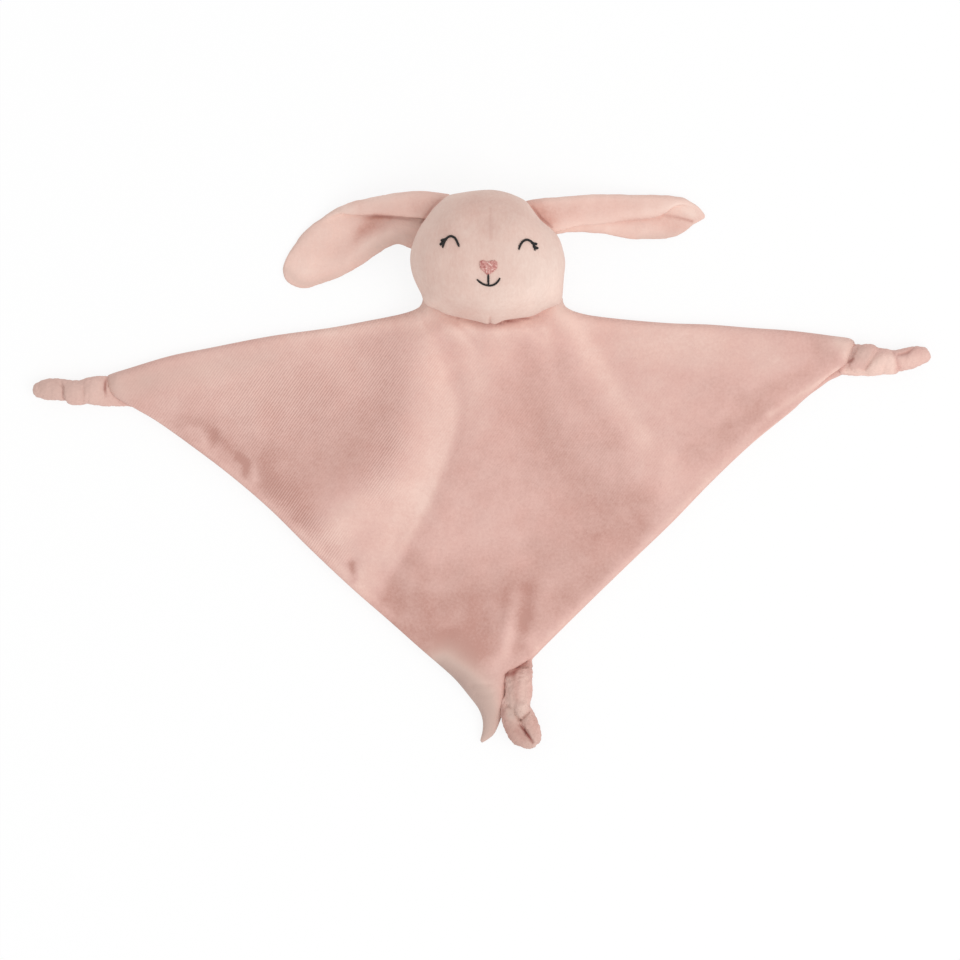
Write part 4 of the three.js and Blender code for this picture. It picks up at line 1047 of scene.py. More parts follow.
def rear_outline():
    """Outline of the rear cloth: a little inside the front one, but it shows along the lower right side."""
    fold = smooth_through(placed(FOLD_SHARES), EDGE_STEP)
    along = np.gradient(fold, axis=0)
    along /= np.linalg.norm(along, axis=1)[:, None]
    inward = np.column_stack([along[:, 1], -along[:, 0]])
    kept = fold + inward * (FOLD_TURN_UNDER + REAR_FOLD_GAP)
    kept = kept[distance_to(kept, fold) > FOLD_TURN_UNDER - REAR_FOLD_SLACK][::REAR_FOLD_STEP]
    right = np.array(placed(RIGHT_HEM_SHARES[REAR_HEM_START:])) + REAR_RIGHT_SHIFT
    left = np.array(placed(LEFT_HEM_SHARES)) + REAR_LEFT_SHIFT
    end = np.array(placed(LEFT_END_SHARES))[:1] + REAR_END_SHIFT
    points = [*kept, *(np.array(REAR_RIGHT_END) * MM), *right, *(np.array(REAR_BOTTOM) * MM), *left, *end]
    return smooth_through(points, OUTLINE_STEP, closed=True)


def make_rear_cloth():
    outline = rear_outline()
    flat, faces = fill_outline(outline, REAR_SPACING, REAR_RIMS)
    from_edge = distance_to(flat, np.vstack([outline, outline[:1]]))
    edge = from_edge < EDGE_TOLERANCE
    profile = rounded(from_edge / REAR_ROUND)
    middle = LAYER_GAP + LAYER / 2
    top = middle + (LAYER / 2 - LEAST_THICKNESS + relief(flat, REAR_HILLS) * 0.5) * profile
    bottom = middle - LAYER / 2 * profile
    top[edge] = middle
    return two_sided("rear_cloth", flat, faces, top, bottom, edge)


def blow_up(obj, pressure, cap):
    """Fill a closed cloth form with air, as its stuffing does, moving no point further than cap."""
    before = coordinates(obj)
    cloth = obj.modifiers.new("cloth", "CLOTH")
    cloth.settings.quality = CLOTH_QUALITY
    cloth.settings.mass = CLOTH_MASS
    cloth.settings.use_pressure = True
    cloth.settings.uniform_pressure_force = pressure
    cloth.settings.effector_weights.gravity = 0
    scene = bpy.context.scene
    for number in range(1, CLOTH_FRAMES + 1):
        scene.frame_set(number)
    select_only(obj)
    bpy.ops.object.modifier_apply(modifier=cloth.name)
    scene.frame_set(1)
    move = coordinates(obj) - before
    length = np.linalg.norm(move, axis=1)
    move *= np.minimum(1, cap / np.maximum(length, SAME_POINT))[:, None]
    set_coordinates(obj, before + move)


def seen(points, height):
    """Where points that the camera sees at a height lie, from where they seem to lie on the surface."""
    centre = np.array(CAMERA_OVER)
    return centre + (np.array(points, float) - centre) * (1 - height / CAMERA_HEIGHT)


def reach_round(outline):
    """Reach of an outline from the middle of the head, by direction, and the same with corners smoothed."""
    drawn = seen(np.array(outline) * MM, HEAD_MIDDLE_Z)
    line = smooth_through(drawn, HEAD_LINE_STEP, closed=True) - HEAD_MIDDLE
    angle = np.arctan2(line[:, 1], line[:, 0])
    order = np.argsort(angle)
    turns = np.linspace(-math.pi, math.pi, DIRECTIONS + 1)[:-1]
    exact = np.interp(turns, angle[order], np.hypot(line[order, 0], line[order, 1]), period=math.tau)
    spread = bell(np.arange(-SOFT_WINDOW, SOFT_WINDOW + 1), SOFT_SPREAD)
    wrapped = np.concatenate([exact[-SOFT_WINDOW:], exact, exact[:SOFT_WINDOW]])
    soft = np.convolve(wrapped, spread / spread.sum(), mode="valid")
    return (lambda turn: np.interp(turn, turns, exact, period=math.tau),
            lambda turn: np.interp(turn, turns, soft, period=math.tau))


def head_outline(face_reach, back_reach, turn, height):
    """Reach of the head from its middle: the cheeks run down into the neck, and the chin stands over it."""
    exact, soft = face_reach
    face, back = exact(turn), back_reach[0](turn)
    upper = ease((height - SOFTER_FROM) / SOFTER_OVER)
    neck = np.maximum(back - face, 0) * ease((NECK_BLEND_TOP - height) / NECK_BLEND)
    under = np.maximum(face - back, 0) * ease((CHIN_BLEND_TOP - height) / CHIN_BLEND)
    return face * (1 - upper) + soft(turn) * upper + neck - under


def draw_to_outline(points, face_reach, back_reach):
    """Draw the sides of the stuffed form to the outlines, and the side seam in."""
    height = points[:, 2]
    away = points[:, :2] - HEAD_MIDDLE
    turn, reach = np.arctan2(away[:, 1], away[:, 0]), np.hypot(away[:, 0], away[:, 1])
    level = np.abs(height - HEAD_MIDDLE_Z) / (HEAD_DEPTH / 2)
    spread = np.maximum(1 - level**HEAD_ROUNDNESS, 0) ** (1 / HEAD_ROUNDNESS)
    target = head_outline(face_reach, back_reach, turn, height) * spread
    fit = FIT_SHARE * (1 - ease((height - FIT_TOP) / FIT_TOP_BLEND))
    fit *= ease((height - FIT_LOW) / FIT_LOW_BLEND)
    fit *= ease(reach / FIT_MIDDLE)
    neck = ease((NECK_TOP - points[:, 1]) / NECK_TOP_BLEND) * (np.abs(points[:, 0]) > NECK_HALF_WIDTH)
    seam = bell(height - SEAM_HEIGHT, SEAM_WIDTH) * (1 - neck) * ease(reach / FIT_MIDDLE)
    fitted = reach + (target - reach) * fit - SEAM_DEPTH * seam
    points[:, :2] = HEAD_MIDDLE + away * (fitted / np.maximum(reach, EDGE_TOLERANCE))[:, None]


def model_face(points):
    """The seam down the forehead, the dents of the face and the notch under the chin."""
    x, y = points[:, 0], points[:, 1]
    upper = ease((points[:, 2] - SEAM_HEIGHT) / FACE_BLEND)
    panel = bell(x - PANEL_SEAM_X, PANEL_SEAM_WIDTH)
    points[:, 2] -= PANEL_SEAM_DEPTH * panel * ease((y - PANEL_SEAM_END) / PANEL_SEAM_FADE) * upper
    for dent_x, dent_y, width, depth in FACE_DENTS:
        points[:, 2] -= depth * bell(np.hypot(x - dent_x, y - dent_y), width) * upper
    notch = bell(x - PANEL_SEAM_X, CHIN_NOTCH_WIDTH) * ease((CHIN_NOTCH_TOP - y) / CHIN_NOTCH_FADE)
    points[:, 1] += CHIN_NOTCH_DEPTH * notch
    points[:, 2] += relief(points, FACE_HILLS) * upper


def make_head():
    """Face and back of the head: one stuffed form, divided at the side seam."""
    face_reach = reach_round(FACE_OUTLINE)
    back_reach = reach_round(BACK_OUTLINE)
    bpy.ops.object.select_all(action="DESELECT")
    bpy.ops.mesh.primitive_uv_sphere_add(
        segments=HEAD_SEGMENTS, ring_count=HEAD_RINGS, radius=1, location=(0, 0, 0),
    )
    form = bpy.context.object
    unit = coordinates(form)
    power = 2 / HEAD_ROUNDNESS
    spread = np.hypot(unit[:, 0], unit[:, 1]) ** power
    height = HEAD_MIDDLE_Z + (HEAD_DEPTH / 2 - SLACK_UP) * np.sign(unit[:, 2]) * np.abs(unit[:, 2]) ** power
    turn = np.arctan2(unit[:, 1], unit[:, 0])
    reach = (head_outline(face_reach, back_reach, turn, height) - SLACK_OUT) * spread
    set_coordinates(form, np.column_stack([
        HEAD_MIDDLE[0] + reach * np.cos(turn), HEAD_MIDDLE[1] + reach * np.sin(turn), height,
    ]))
    modify(form, "REMESH", mode="VOXEL", voxel_size=HEAD_GRAIN)
    blow_up(form, STUFFING_PRESSURE, STUFFING_REACH)
    modify(form, "SUBSURF", levels=2, render_levels=2)
    points = coordinates(form)
    low, high = points[:, 2].min(), points[:, 2].max()
    points[:, 2] = REST_CUT + (points[:, 2] - low) * (HEAD_DEPTH - 2 * REST_CUT) / (high - low)
    set_coordinates(form, points)
    face, back = cut_in_two(form, "head_face", "head_rear", (0, 0, SEAM_HEIGHT), (0, 0, 1))
    for piece in (face, back):
        points = coordinates(piece)
        draw_to_outline(points, face_reach, back_reach)
        if piece is face:
            model_face(points)
        set_coordinates(piece, points)
        smooth_shading(piece, HEAD_SMOOTH_ANGLE)
    return face, back


def ear_section(length, flap, base, radius):
    """Points across an ear: from the lower edge, round the fold, to the free edge of the flap."""
    half = EAR_THICKNESS / 2
    outer = min(radius, EAR_FOLD_MOST * length)
    middle = max(outer - half, EAR_FOLD_LEAST)
    closed = ease((outer - half) / EAR_FOLD_CLOSING)
    turn = EAR_FOLD_TURN * closed
    straight = max(flap - outer * closed, EAR_FLAP_LEAST)
    angles = np.linspace(0, turn, EAR_BEND_POINTS)
    bend = np.column_stack([middle * np.sin(angles), middle - middle * np.cos(angles)])
    reach = np.linspace(0, straight, EAR_LID_POINTS)[1:]
    lid = bend[-1] + np.column_stack([reach * math.cos(turn), reach * math.sin(turn)])
    lid[:, 1] += EAR_LID_SWELL * closed * np.sin(np.pi * reach / straight) * min(straight / EAR_LID_FULL, 1)
    path = np.vstack([bend, lid])
    path[:, 0] += length - path[:, 0].max() - half * closed
    flat = np.zeros((EAR_FLAT_POINTS, 2))
    flat[:, 0] = np.linspace(0, path[0, 0], EAR_FLAT_POINTS + 1)[:-1]
    fallen = (1 - np.clip(flat[:, 0] / EAR_DROOP_REACH, 0, 1)) ** 2
    flat[:, 1] -= EAR_DROOP * min(base / EAR_DROOP_BASE, 1) * fallen
    path = np.vstack([flat, path])
    steps = np.concatenate([[0], np.cumsum(np.hypot(*np.diff(path, axis=0).T))])
    even = np.linspace(0, steps[-1], EAR_ACROSS)
    a = np.interp(even, steps, path[:, 0])
    z = np.interp(even, steps, path[:, 1]) + base + half
    return a, z, even, steps[-1]


def make_ear(name, rows, creases):
    """An ear: two layers sewn and turned, laid out in sections from the head to the tip, with its fold."""
    shape = (EAR_STATIONS, EAR_ACROSS)
    table = through([(*top, *low, *sizes) for top, low, *sizes in rows], EAR_STATIONS) * MM
    middle = np.empty((*shape, 3))
    edge = np.empty(shape)
    on_flat = np.empty(shape)
    for i, (tx, ty, bx, by, flap, base, radius) in enumerate(table):
        chord = np.array([tx - bx, ty - by])
        length = np.linalg.norm(chord)
        a, z, even, total = ear_section(length, max(flap, EAR_FLAP_LEAST), max(base, 0), radius)
        middle[i, :, :2] = np.array([bx, by]) + a[:, None] * chord / length
        middle[i, :, 2] = z
        edge[i] = np.minimum(even, total - even)
        on_flat[i] = even < a.max()
    along = np.linalg.norm(np.diff(middle.mean(1), axis=0), axis=1)
    from_tip = np.concatenate([np.cumsum(along[::-1])[::-1], [0]])
    from_root = np.concatenate([[0], np.cumsum(along)])
    edge = np.minimum(edge, np.minimum(from_tip, from_root)[:, None])
    pressed = strokes(middle[:, :, :2].reshape(-1, 2), creases).reshape(shape) * MM
    middle[:, :, 2] += pressed * on_flat * ease(edge / EAR_CREASE_EDGE)
    normal = np.cross(np.gradient(middle, axis=0), np.gradient(middle, axis=1))
    normal /= np.maximum(np.linalg.norm(normal, axis=2), NO_LENGTH)[:, :, None]
    half = EAR_THICKNESS / 2 * rounded(edge / (EAR_THICKNESS * EAR_ROUND))
    upper = middle + normal * half[:, :, None]
    lower = middle - normal * half[:, :, None]
    upper[:, :, 2] += EAR_SWELL * ease(edge / EAR_SWELL_EDGE) * on_flat
    rim = edge <= SAME_POINT
    rim[0, :] = rim[-1, :] = True
    rim[:, 0] = rim[:, -1] = True
    index_up = np.arange(upper[:, :, 0].size).reshape(shape)
    index_low = index_up.copy()
    index_low[~rim] = index_up.size + np.arange(np.sum(~rim))
    points = np.vstack([upper.reshape(-1, 3), lower[~rim]])
    faces = []
    for i, j in np.ndindex(EAR_STATIONS - 1, EAR_ACROSS - 1):
        faces.append([index_up[i, j], index_up[i + 1, j], index_up[i + 1, j + 1], index_up[i, j + 1]])
        faces.append([index_low[i, j], index_low[i, j + 1], index_low[i + 1, j + 1], index_low[i + 1, j]])
    ear = outward(make_mesh(name, points, faces))
    grow_together(ear, EAR_GRAIN)
    ruffle(ear, EAR_HILLS)
    return ear


def close_rings(rings):
    """Points and faces of a tube through rings, closed at both ends."""
    sides = len(rings[0])
    points = np.vstack(rings + [rings[0].mean(0)[None], rings[-1].mean(0)[None]])
    beside = [(k, (k + 1) % sides) for k in range(sides)]
    faces = []
    for i in range(len(rings) - 1):
        low, high = i * sides, (i + 1) * sides
        faces += [[low + k, low + n, high + n, high + k] for k, n in beside]
    first, last = len(points) - 2, len(points) - 1
    start = (len(rings) - 1) * sides
    for k, n in beside:
        faces += [[first, n, k], [last, start + k, start + n]]
    return points, faces


def tube(rows, sides=20):
    """A closed tube with an oval section through rows of x, y, z, half width and half height."""
    rows = np.array(rows, float) * MM
    count = max(int(np.linalg.norm(np.diff(rows[:, :3], axis=0), axis=1).sum() / TUBE_STEP), TUBE_LEAST)
    path = through(rows, count)
    direction = np.gradient(path[:, :2], axis=0)
    direction /= np.linalg.norm(direction, axis=1)[:, None]
    caps = [(0, -k) for k in TUBE_END] + [(i, 0) for i in range(count)]
    caps += [(count - 1, k) for k in reversed(TUBE_END)]
    turn = np.arange(sides) / sides * math.tau
    rings = []
    for i, k in caps:
        x, y, z, wide, high = path[i]
        shrink = math.sqrt(1 - k * k)
        centre = np.array([x, y]) + direction[i] * k * min(wide, high)
        sideways = np.array([-direction[i][1], direction[i][0]])
        ring = np.empty((sides, 3))
        ring[:, :2] = centre + sideways * (wide * shrink * np.cos(turn))[:, None]
        ring[:, 2] = z + high * shrink * np.sin(turn)
        rings.append(ring)
    return close_rings(rings)


def band(x, y, z, sideways, upwards, wide, thick, slant, heading):
    """A band of cloth that goes once round a knot."""
    along = np.array([math.cos(math.radians(heading)), math.sin(math.radians(heading)), 0])
    across, up = np.array([0.0, 1.0, 0.0]), np.array([0.0, 0.0, 1.0])
    points, faces = [], []
    for i in range(BAND_TURNS):
        angle = i / BAND_TURNS * math.tau
        centre = np.array([x, y, z]) + across * sideways * math.cos(angle) + up * upwards * math.sin(angle)
        centre = centre + np.array([slant * math.cos(angle), 0.0, 0.0])
        outwards = across * math.cos(angle) / sideways + up * math.sin(angle) / upwards
        outwards /= np.linalg.norm(outwards)
        for k in range(BAND_SIDES):
            around = k / BAND_SIDES * math.tau
            points.append(centre + along * wide * math.cos(around) + outwards * thick * math.sin(around))
            a, b = i * BAND_SIDES, (i + 1) % BAND_TURNS * BAND_SIDES
            n = (k + 1) % BAND_SIDES
            faces.append([a + k, b + k, b + n, a + n])
    return np.array(points) * MM, faces


def make_knot(name, strands, wraps, rows=KNOT_HILLS):
    """A tied corner: its strands and wraps grown together into one cloth form."""
    obj = joined(name, [tube(strand) for strand in strands] + [band(*wrap) for wrap in wraps])
    grow_together(obj, KNOT_GRAIN)
    press(obj, KNOT_CREASES)
    ruffle(obj, rows)
    return obj


class Surface:
    """The face, on which the embroidery lies."""

    def __init__(self, obj):
        points = [tuple(p) for p in coordinates(obj)]
        self.tree = BVHTree.FromPolygons(points, [tuple(f.vertices) for f in obj.data.polygons])

    def at(self, x, y, lift=0.0):
        start = np.array([*CAMERA_OVER, CAMERA_HEIGHT])
        way = np.array([x, y, 0.0]) - start
        hit, normal, _, _ = self.tree.ray_cast(Vector(start), Vector(way / np.linalg.norm(way)))
        return np.array(hit) + np.array(normal) * lift


def capsule(start, end, radius):
    """A short stitch from start to end."""
    axis = end - start
    length = np.linalg.norm(axis)
    axis = axis / length
    side = np.cross(axis, (0, 0, 1))
    side /= np.linalg.norm(side)
    up = np.cross(side, axis)
    turn = np.arange(STITCH_SIDES) / STITCH_SIDES * math.tau
    circle = np.outer(np.cos(turn), side) + np.outer(np.sin(turn), up)
    return close_rings([
        start + axis * length * place + circle * radius * share for place, share in STITCH_SHAPE
    ])


def stitches(surface, line, width):
    """Overlapping slanted stitches along a line on the face."""
    path = smooth_through(np.array(line) * MM, STITCH_LINE_STEP)
    steps = np.concatenate([[0], np.cumsum(np.linalg.norm(np.diff(path, axis=0), axis=1))])
    count = max(int(steps[-1] / STITCH_PITCH), 2)

    def on_line(place):
        return np.array([np.interp(place, steps, path[:, k]) for k in (0, 1)])

    parts = []
    for i in range(count + 1):
        place = steps[-1] * i / count
        middle = on_line(place)
        along = on_line(place + STITCH_LOOK) - on_line(place - STITCH_LOOK)
        heading = math.atan2(along[1], along[0]) + STITCH_SLANT
        taper = STITCH_END + (1 - STITCH_END) * ease(min(i, count - i) / 2)
        reach = np.array([math.cos(heading), math.sin(heading)]) * STITCH_LENGTH / 2 * width * taper
        lift = STITCH_RADIUS * (STITCH_LIFT + STITCH_UNEVEN * math.sin(i * STITCH_RHYTHM))
        ends = [surface.at(*spot, lift) for spot in (middle - reach, middle + reach)]
        parts.append(capsule(*ends, STITCH_RADIUS * width * taper))
    return parts


def make_nose(surface):
    """The nose: columns of satin stitch that swell towards its middle."""
    outline = smooth_through(np.array(NOSE_OUTLINE) * MM, NOSE_LINE_STEP, closed=True)
    middle = outline.mean(0)
    low_x, high_x = outline[:, 0].min() + NOSE_COLUMN, outline[:, 0].max() - NOSE_RIGHT_GAP
    parts = []
    for i, x in enumerate(np.arange(low_x, high_x, NOSE_PITCH)):
        column = outline[np.abs(outline[:, 0] - x) < NOSE_COLUMN]
        low = column[:, 1].min() + NOSE_UNEVEN * math.sin(i * NOSE_LOW_RHYTHM)
        high = column[:, 1].max() + NOSE_UNEVEN * math.sin(i * NOSE_HIGH_RHYTHM)
        if high - low < NOSE_LEAST:
            continue
        rows = []
        for share in np.linspace(0, 1, NOSE_STEPS):
            y = low + (high - low) * share
            swell = NOSE_SWELL * (1 - ((x - middle[0]) / NOSE_HALF_WIDTH) ** 2)
            swell *= math.sin(math.pi * (NOSE_ARCH[0] + NOSE_ARCH[1] * share))
            wandered = x + NOSE_WANDER * math.sin(share * NOSE_WAVES + i)
            spot = surface.at(wandered, y, NOSE_RADIUS * 0.5 + swell)
            rows.append((*(spot / MM), NOSE_RADIUS / MM, NOSE_RADIUS / MM))
        parts.append(tube(rows, STITCH_SIDES))
    return joined("nose", parts)


def make_embroidery(face):
    surface = Surface(face)
    lines = (
        ("left_eye", [LEFT_LID, *LEFT_LASHES], 1.0), ("right_eye", [RIGHT_LID, *RIGHT_LASHES], 1.0),
        ("mouth", [MOUTH_LINE, SMILE], MOUTH_WIDTH),
    )
    made = [
        joined(name, [part for line in rows for part in stitches(surface, line, width)])
        for name, rows, width in lines
    ]
    return *made, make_nose(surface)


def new_material(name, settings):
    """A material, with the settings of its surface by the names of their inputs."""
    material = bpy.data.materials.new(name)
    material.use_nodes = True
    shader = material.node_tree.nodes["Principled BSDF"]
    for socket, value in settings.items():
        shader.inputs[socket].default_value = value
    return material, material.node_tree, shader


def add_node(tree, kind, *sockets, **settings):
    """A node: sockets are linked to its inputs in their order, other inputs and settings are named."""
    made = tree.nodes.new("ShaderNode" + kind)
    for i, socket in enumerate(sockets):
        tree.links.new(socket, made.inputs[i])
    for name, value in settings.items():
        if isinstance(value, bpy.types.NodeSocket):
            tree.links.new(value, made.inputs[name])
        elif name in made.inputs:
            made.inputs[name].default_value = value
        else:
            setattr(made, name, value)
    return made


def set_up_stage():
    bpy.ops.mesh.primitive_plane_add(size=FLOOR_SIZE, location=(0, 0, FLOOR_LEVEL))
    floor = bpy.context.object
    floor.name = "floor"
    material, tree, shader = new_material("floor_white", FLOOR_SURFACE)
    path = add_node(tree, "LightPath")
    share = add_node(tree, "Math", path.outputs["Is Camera Ray"], operation="MULTIPLY")
    share.inputs[1].default_value = FLOOR_GLOW
    white = add_node(tree, "Emission")
    blend = add_node(tree, "MixShader", share.outputs[0], shader.outputs[0], white.outputs[0])
    tree.links.new(blend.outputs[0], tree.nodes["Material Output"].inputs["Surface"])
    floor.data.materials.append(material)

    world = bpy.data.worlds.new("studio")
    bpy.context.scene.world = world
    world.use_nodes = True
    background = world.node_tree.nodes["Background"]
    background.inputs["Color"].default_value = (1, 1, 1, 1)
    background.inputs["Strength"].default_value = WORLD_LIGHT

    light = bpy.data.lights.new("key", "AREA")
    light.size = KEY_SIZE
    light.energy = KEY_POWER
    key = bpy.data.objects.new("key", light)
    key.location = KEY_PLACE
    key.rotation_euler = (Vector(KEY_AIM) - Vector(KEY_PLACE)).to_track_quat("-Z", "Y").to_euler()
    bpy.context.collection.objects.link(key)


def set_up_camera():
    camera = bpy.data.cameras.new("camera")
    camera.sensor_width = SENSOR_WIDTH
    camera.lens = SENSOR_WIDTH * CAMERA_HEIGHT / VIEW_WIDTH
    camera.clip_end = CAMERA_FAR
    obj = bpy.data.objects.new("camera", camera)
    obj.location = (*CAMERA_OVER, CAMERA_HEIGHT)
    bpy.context.collection.objects.link(obj)
    bpy.context.scene.camera = obj
    bpy.context.scene.view_settings.view_transform = "Standard"


def clouds(tree, place, size, detail=3.0, roughness=0.6, stretch=(1, 1, 1)):
    """Noise with patches about size wide, drawn out along the axes by stretch."""
    mapping = add_node(tree, "Mapping", place, Scale=tuple(1 / s for s in stretch))
    patches = add_node(
        tree, "TexNoise", mapping.outputs[0], Scale=0.5 / size, Detail=detail, Roughness=roughness,
    )
    return patches.outputs[0]


def summed(tree, start, terms):
    """A number: start, and each socket of terms times its share."""
    total = None
    for socket, share in terms:
        step = add_node(tree, "Math", socket, operation="MULTIPLY_ADD")
        step.inputs[1].default_value = share
        if total is None:
            step.inputs[2].default_value = start
        else:
            tree.links.new(total, step.inputs[2])
        total = step.outputs[0]
    return total


def tones(tree, level, colours):
    """Colours from deep to light, picked by a level from 0 to 1."""
    ramp = add_node(tree, "ValToRGB", level)
    marks = ramp.color_ramp.elements
    marks[0].color = (*colours[0], 1)
    marks[1].color = (*colours[-1], 1)
    for i, colour in enumerate(colours[1:-1], 1):
        marks.new(i / (len(colours) - 1)).color = (*colour, 1)
    return ramp.outputs[0]


def tinted(tree, colour, factor, tint, kind="MIX"):
    """A colour mixed with a tint, by a socket."""
    mix = add_node(tree, "Mix", data_type="RGBA", blend_type=kind, Factor=factor)
    tree.links.new(colour, mix.inputs[6])
    mix.inputs[7].default_value = (*tint, 1)
    return mix.outputs[2]


def dress(tree, shader, colour, height, strength, depth):
    """Give a surface its colour, and its bump from a height."""
    bump = add_node(tree, "Bump", Strength=strength, Distance=depth, Height=height)
    tree.links.new(colour, shader.inputs["Base Color"])
    tree.links.new(bump.outputs[0], shader.inputs["Normal"])


def stroke_value(tree, name):
    """The number that paint() kept for each point."""
    return add_node(tree, "Attribute", attribute_name=name).outputs["Fac"]


def woven(tree, place, where):
    """The weave's ribs, shown where the pile lets them through."""
    turned = add_node(tree, "Mapping", place, Rotation=(0, 0, math.radians(RIB_TURN)))
    scale = math.tau / 20 / RIB_PITCH
    ribs = add_node(tree, "TexWave", turned.outputs[0], Scale=scale, Distortion=RIB_WARP, Detail=2.0)
    ribs.inputs["Detail Scale"].default_value = RIB_WARP_SIZE
    return add_node(tree, "Math", ribs.outputs["Fac"], where, operation="MULTIPLY").outputs[0]


def velour(name, colours, patches, pile_lay=(1, 1, 1), ribbed=False, grain=1.0, pile_size=PILE_SIZE):
    """Short-pile velour: brushed patches, nap and pile over the tones that the nap, with its painted light
    and shade, was painted with.
    """
    material, tree, shader = new_material(name, VELOUR_SURFACE)
    place = add_node(tree, "TexCoord").outputs["Object"]
    painted_nap_and_shade, ash_and_shade, painted_shade = (stroke_value(tree, kind) for kind in ("nap", "ash_and_shade", "painted_shade"))
    brushed = clouds(tree, place, PATCH_SIZE)
    nap = clouds(tree, place, NAP_SIZE, 3.0, 0.65, pile_lay)
    pile = clouds(tree, place, pile_size, 2.0, 0.7, pile_lay)
    nap_share, pile_share = GRAIN_SHARE * grain, PILE_SHARE * grain
    # The painted strokes hold painted light and shade as well as the nap.
    terms = [(painted_nap_and_shade, PAINTED_NAP_AND_SHADE_SHARE), (brushed, patches), (nap, nap_share), (pile, pile_share)]
    height = [(pile, 1.0), (nap, NAP_BUMP)]
    if ribbed:
        where = stroke_value(tree, "ribs")
        shown = woven(tree, place, where)
        terms += [(shown, RIB_SHARE), (where, -RIB_SHARE / 2)]
        height.append((shown, RIB_BUMP))
    level = summed(tree, 0.5 - (patches + nap_share + pile_share) / 2, terms)
    blush = summed(tree, -BLUSH_FROM, [(clouds(tree, place, BLUSH_SIZE, 2.0), BLUSH_CONTRAST)])
    blush = add_node(tree, "Clamp", blush).outputs[0]
    colour = tinted(tree, tones(tree, level, colours), blush, BLUSH, "MULTIPLY")
    # Greyer nap, then painted shade beyond SHADE_FROM, then painted shade where cloth lies against cloth.
    colour = tinted(tree, colour, ash_and_shade, ASH_AND_SHADE_TONE)
    colour = tinted(tree, colour, summed(tree, -SHADE_FROM, [(ash_and_shade, 1.0)]), SHADE_TONE)
    colour = tinted(tree, colour, painted_shade, PAINTED_SHADE_TONE)
    dress(tree, shader, colour, summed(tree, 0.0, height), VELOUR_BUMP, VELOUR_BUMP_DEPTH)
    return material


def thread(name, colours, fleck_size, roughness, sheen=0.2, contrast=2.1):
    """Embroidery thread: a soft gloss and flecks along the strands."""
    material, tree, shader = new_material(name, {"Roughness": roughness, "Sheen Weight": sheen})
    place = add_node(tree, "TexCoord").outputs["Object"]
    fleck = clouds(tree, place, fleck_size, 3.0, 0.7)
    level = summed(tree, 0.5 - contrast / 2, [(fleck, contrast)])
    dress(tree, shader, tones(tree, level, colours), fleck, THREAD_BUMP, THREAD_BUMP_DEPTH)
    return material


def paint(obj, material, nap=(), ash_and_shade=(), ribs=(), painted_shade=()):
    """Give a piece its material, and the strokes that it reads, a number for each point."""
    flat = coordinates(obj)[:, :2]
    # The nap strokes also hold painted light and shade, the ash strokes greyer nap and painted shade, the
    # last ones painted shade.
    for (name, limits), rows in zip(STROKE_LIMITS.items(), (nap, ash_and_shade, ribs, painted_shade)):
        kept = obj.data.attributes.new(name, "FLOAT", "POINT")
        kept.data.foreach_set("value", np.clip(strokes(flat, rows), *limits).astype(np.float32))
    obj.data.materials.append(material)


set_up_stage()
set_up_camera()
cloth_velour = velour("cloth_velour", CLOTH_TONES, 0.55, ribbed=True)
head_velour = velour("head_velour", HEAD_TONES, 0.40, pile_lay=(1, 2.2, 1))
ear_velour = velour("ear_velour", EAR_TONES, 0.30, grain=0.7)
knot_velour = velour("knot_velour", CLOTH_TONES, 0.45, grain=1.6, pile_size=KNOT_PILE_SIZE)
dark_thread = thread("dark_thread", THREAD_DARK, 0.0002, 0.75, sheen=0.03)
rose_thread = thread("rose_thread", THREAD_ROSE, 0.0006, 0.6, contrast=3.4)
pink_thread = thread("pink_thread", THREAD_PINK, 0.0003, 0.7)

front, corner = make_front_cloth()
for piece in (front, corner):
    paint(piece, cloth_velour, CLOTH_NAP_AND_SHADE, CLOTH_ASH_AND_SHADE, RIBS, CLOTH_PAINTED_SHADE)
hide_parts("yoke_outer", "yoke_lining", "front_flap_outer", "front_flap_lining")
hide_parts("front_corner")
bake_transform(front)
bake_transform(corner)

rear = make_rear_cloth()
paint(rear, cloth_velour, REAR_NAP_AND_SHADE, painted_shade=KNOT_PAINTED_SHADE)
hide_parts("rear_flap_lining", "rear_flap_outer")
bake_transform(rear)

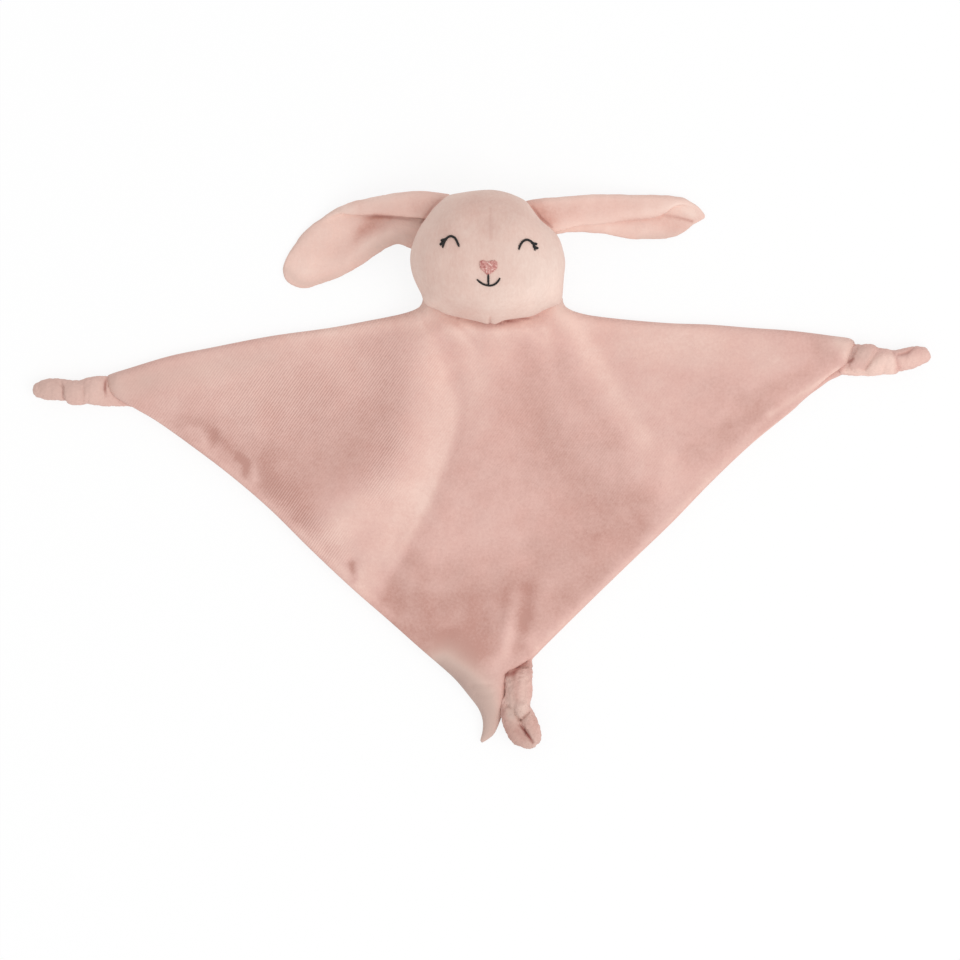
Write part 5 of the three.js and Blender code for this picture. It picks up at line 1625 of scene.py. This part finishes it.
face, back = make_head()
for piece in (face, back):
    paint(piece, head_velour, HEAD_NAP_AND_SHADE)
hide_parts("head_face_left", "head_face_right", "head_stuffing")
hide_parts("head_back")
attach(face, "head")
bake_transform(back)

for side, rows, creases, nap, painted_shade, root, free in (
    ("left", LEFT_EAR, LEFT_EAR_CREASES, LEFT_EAR_NAP_AND_SHADE, LEFT_EAR_PAINTED_SHADE, -0.032, -0.058),
    ("right", RIGHT_EAR, RIGHT_EAR_CREASES, RIGHT_EAR_NAP_AND_SHADE, RIGHT_EAR_PAINTED_SHADE, 0.030, 0.056),
):
    ear = make_ear(f"{side}_ear_cloth", rows, creases)
    paint(ear, ear_velour, nap, EAR_ASH_AND_SHADE, painted_shade=painted_shade)
    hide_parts(f"{side}_ear_back", f"{side}_ear_front")
    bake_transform(ear)

for side, body, strands, wraps, hills, material, root, free in (
    ("left", "yoke", LEFT_KNOT, LEFT_WRAPS, KNOT_HILLS, cloth_velour,
     (-0.184, -0.037, 0), (-0.197, -0.037, 0)),
    ("right", "yoke", RIGHT_KNOT, RIGHT_WRAPS, KNOT_HILLS, cloth_velour,
     (0.176, -0.02, 0), (0.189, -0.02, 0)),
    ("rear", "rear_flap", REAR_KNOT, [], REAR_KNOT_HILLS, knot_velour,
     (0.0144, -0.171, 0), (0.0144, -0.183, 0)),
):
    knot = make_knot(f"{side}_knot_cloth", strands, wraps, hills)
    paint(knot, material, KNOT_NAP_AND_SHADE, KNOT_ASH_AND_SHADE, painted_shade=KNOT_PAINTED_SHADE)
    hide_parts(f"{side}_knot")
    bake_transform(knot)

bunch = make_knot("neck_bunch", NECK_BUNCH, [])
paint(bunch, cloth_velour)
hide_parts("neck_gather")
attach(bunch, "yoke")
neck_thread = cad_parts["neck_thread"]
neck_thread.data.materials.clear()
neck_thread.data.materials.append(pink_thread)

left_eye, right_eye, mouth, nose = make_embroidery(face)
for piece, node, material, slot in (
    (left_eye, "left_eye", dark_thread, "dark_thread"),
    (right_eye, "right_eye", dark_thread, "dark_thread"),
    (mouth, "mouth", dark_thread, "dark_thread"),
    (nose, "nose", rose_thread, "rose_thread"),
):
    piece.name = f"{node}_stitches"
    piece.data.materials.append(material)
    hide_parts(node)
    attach(piece, "head")
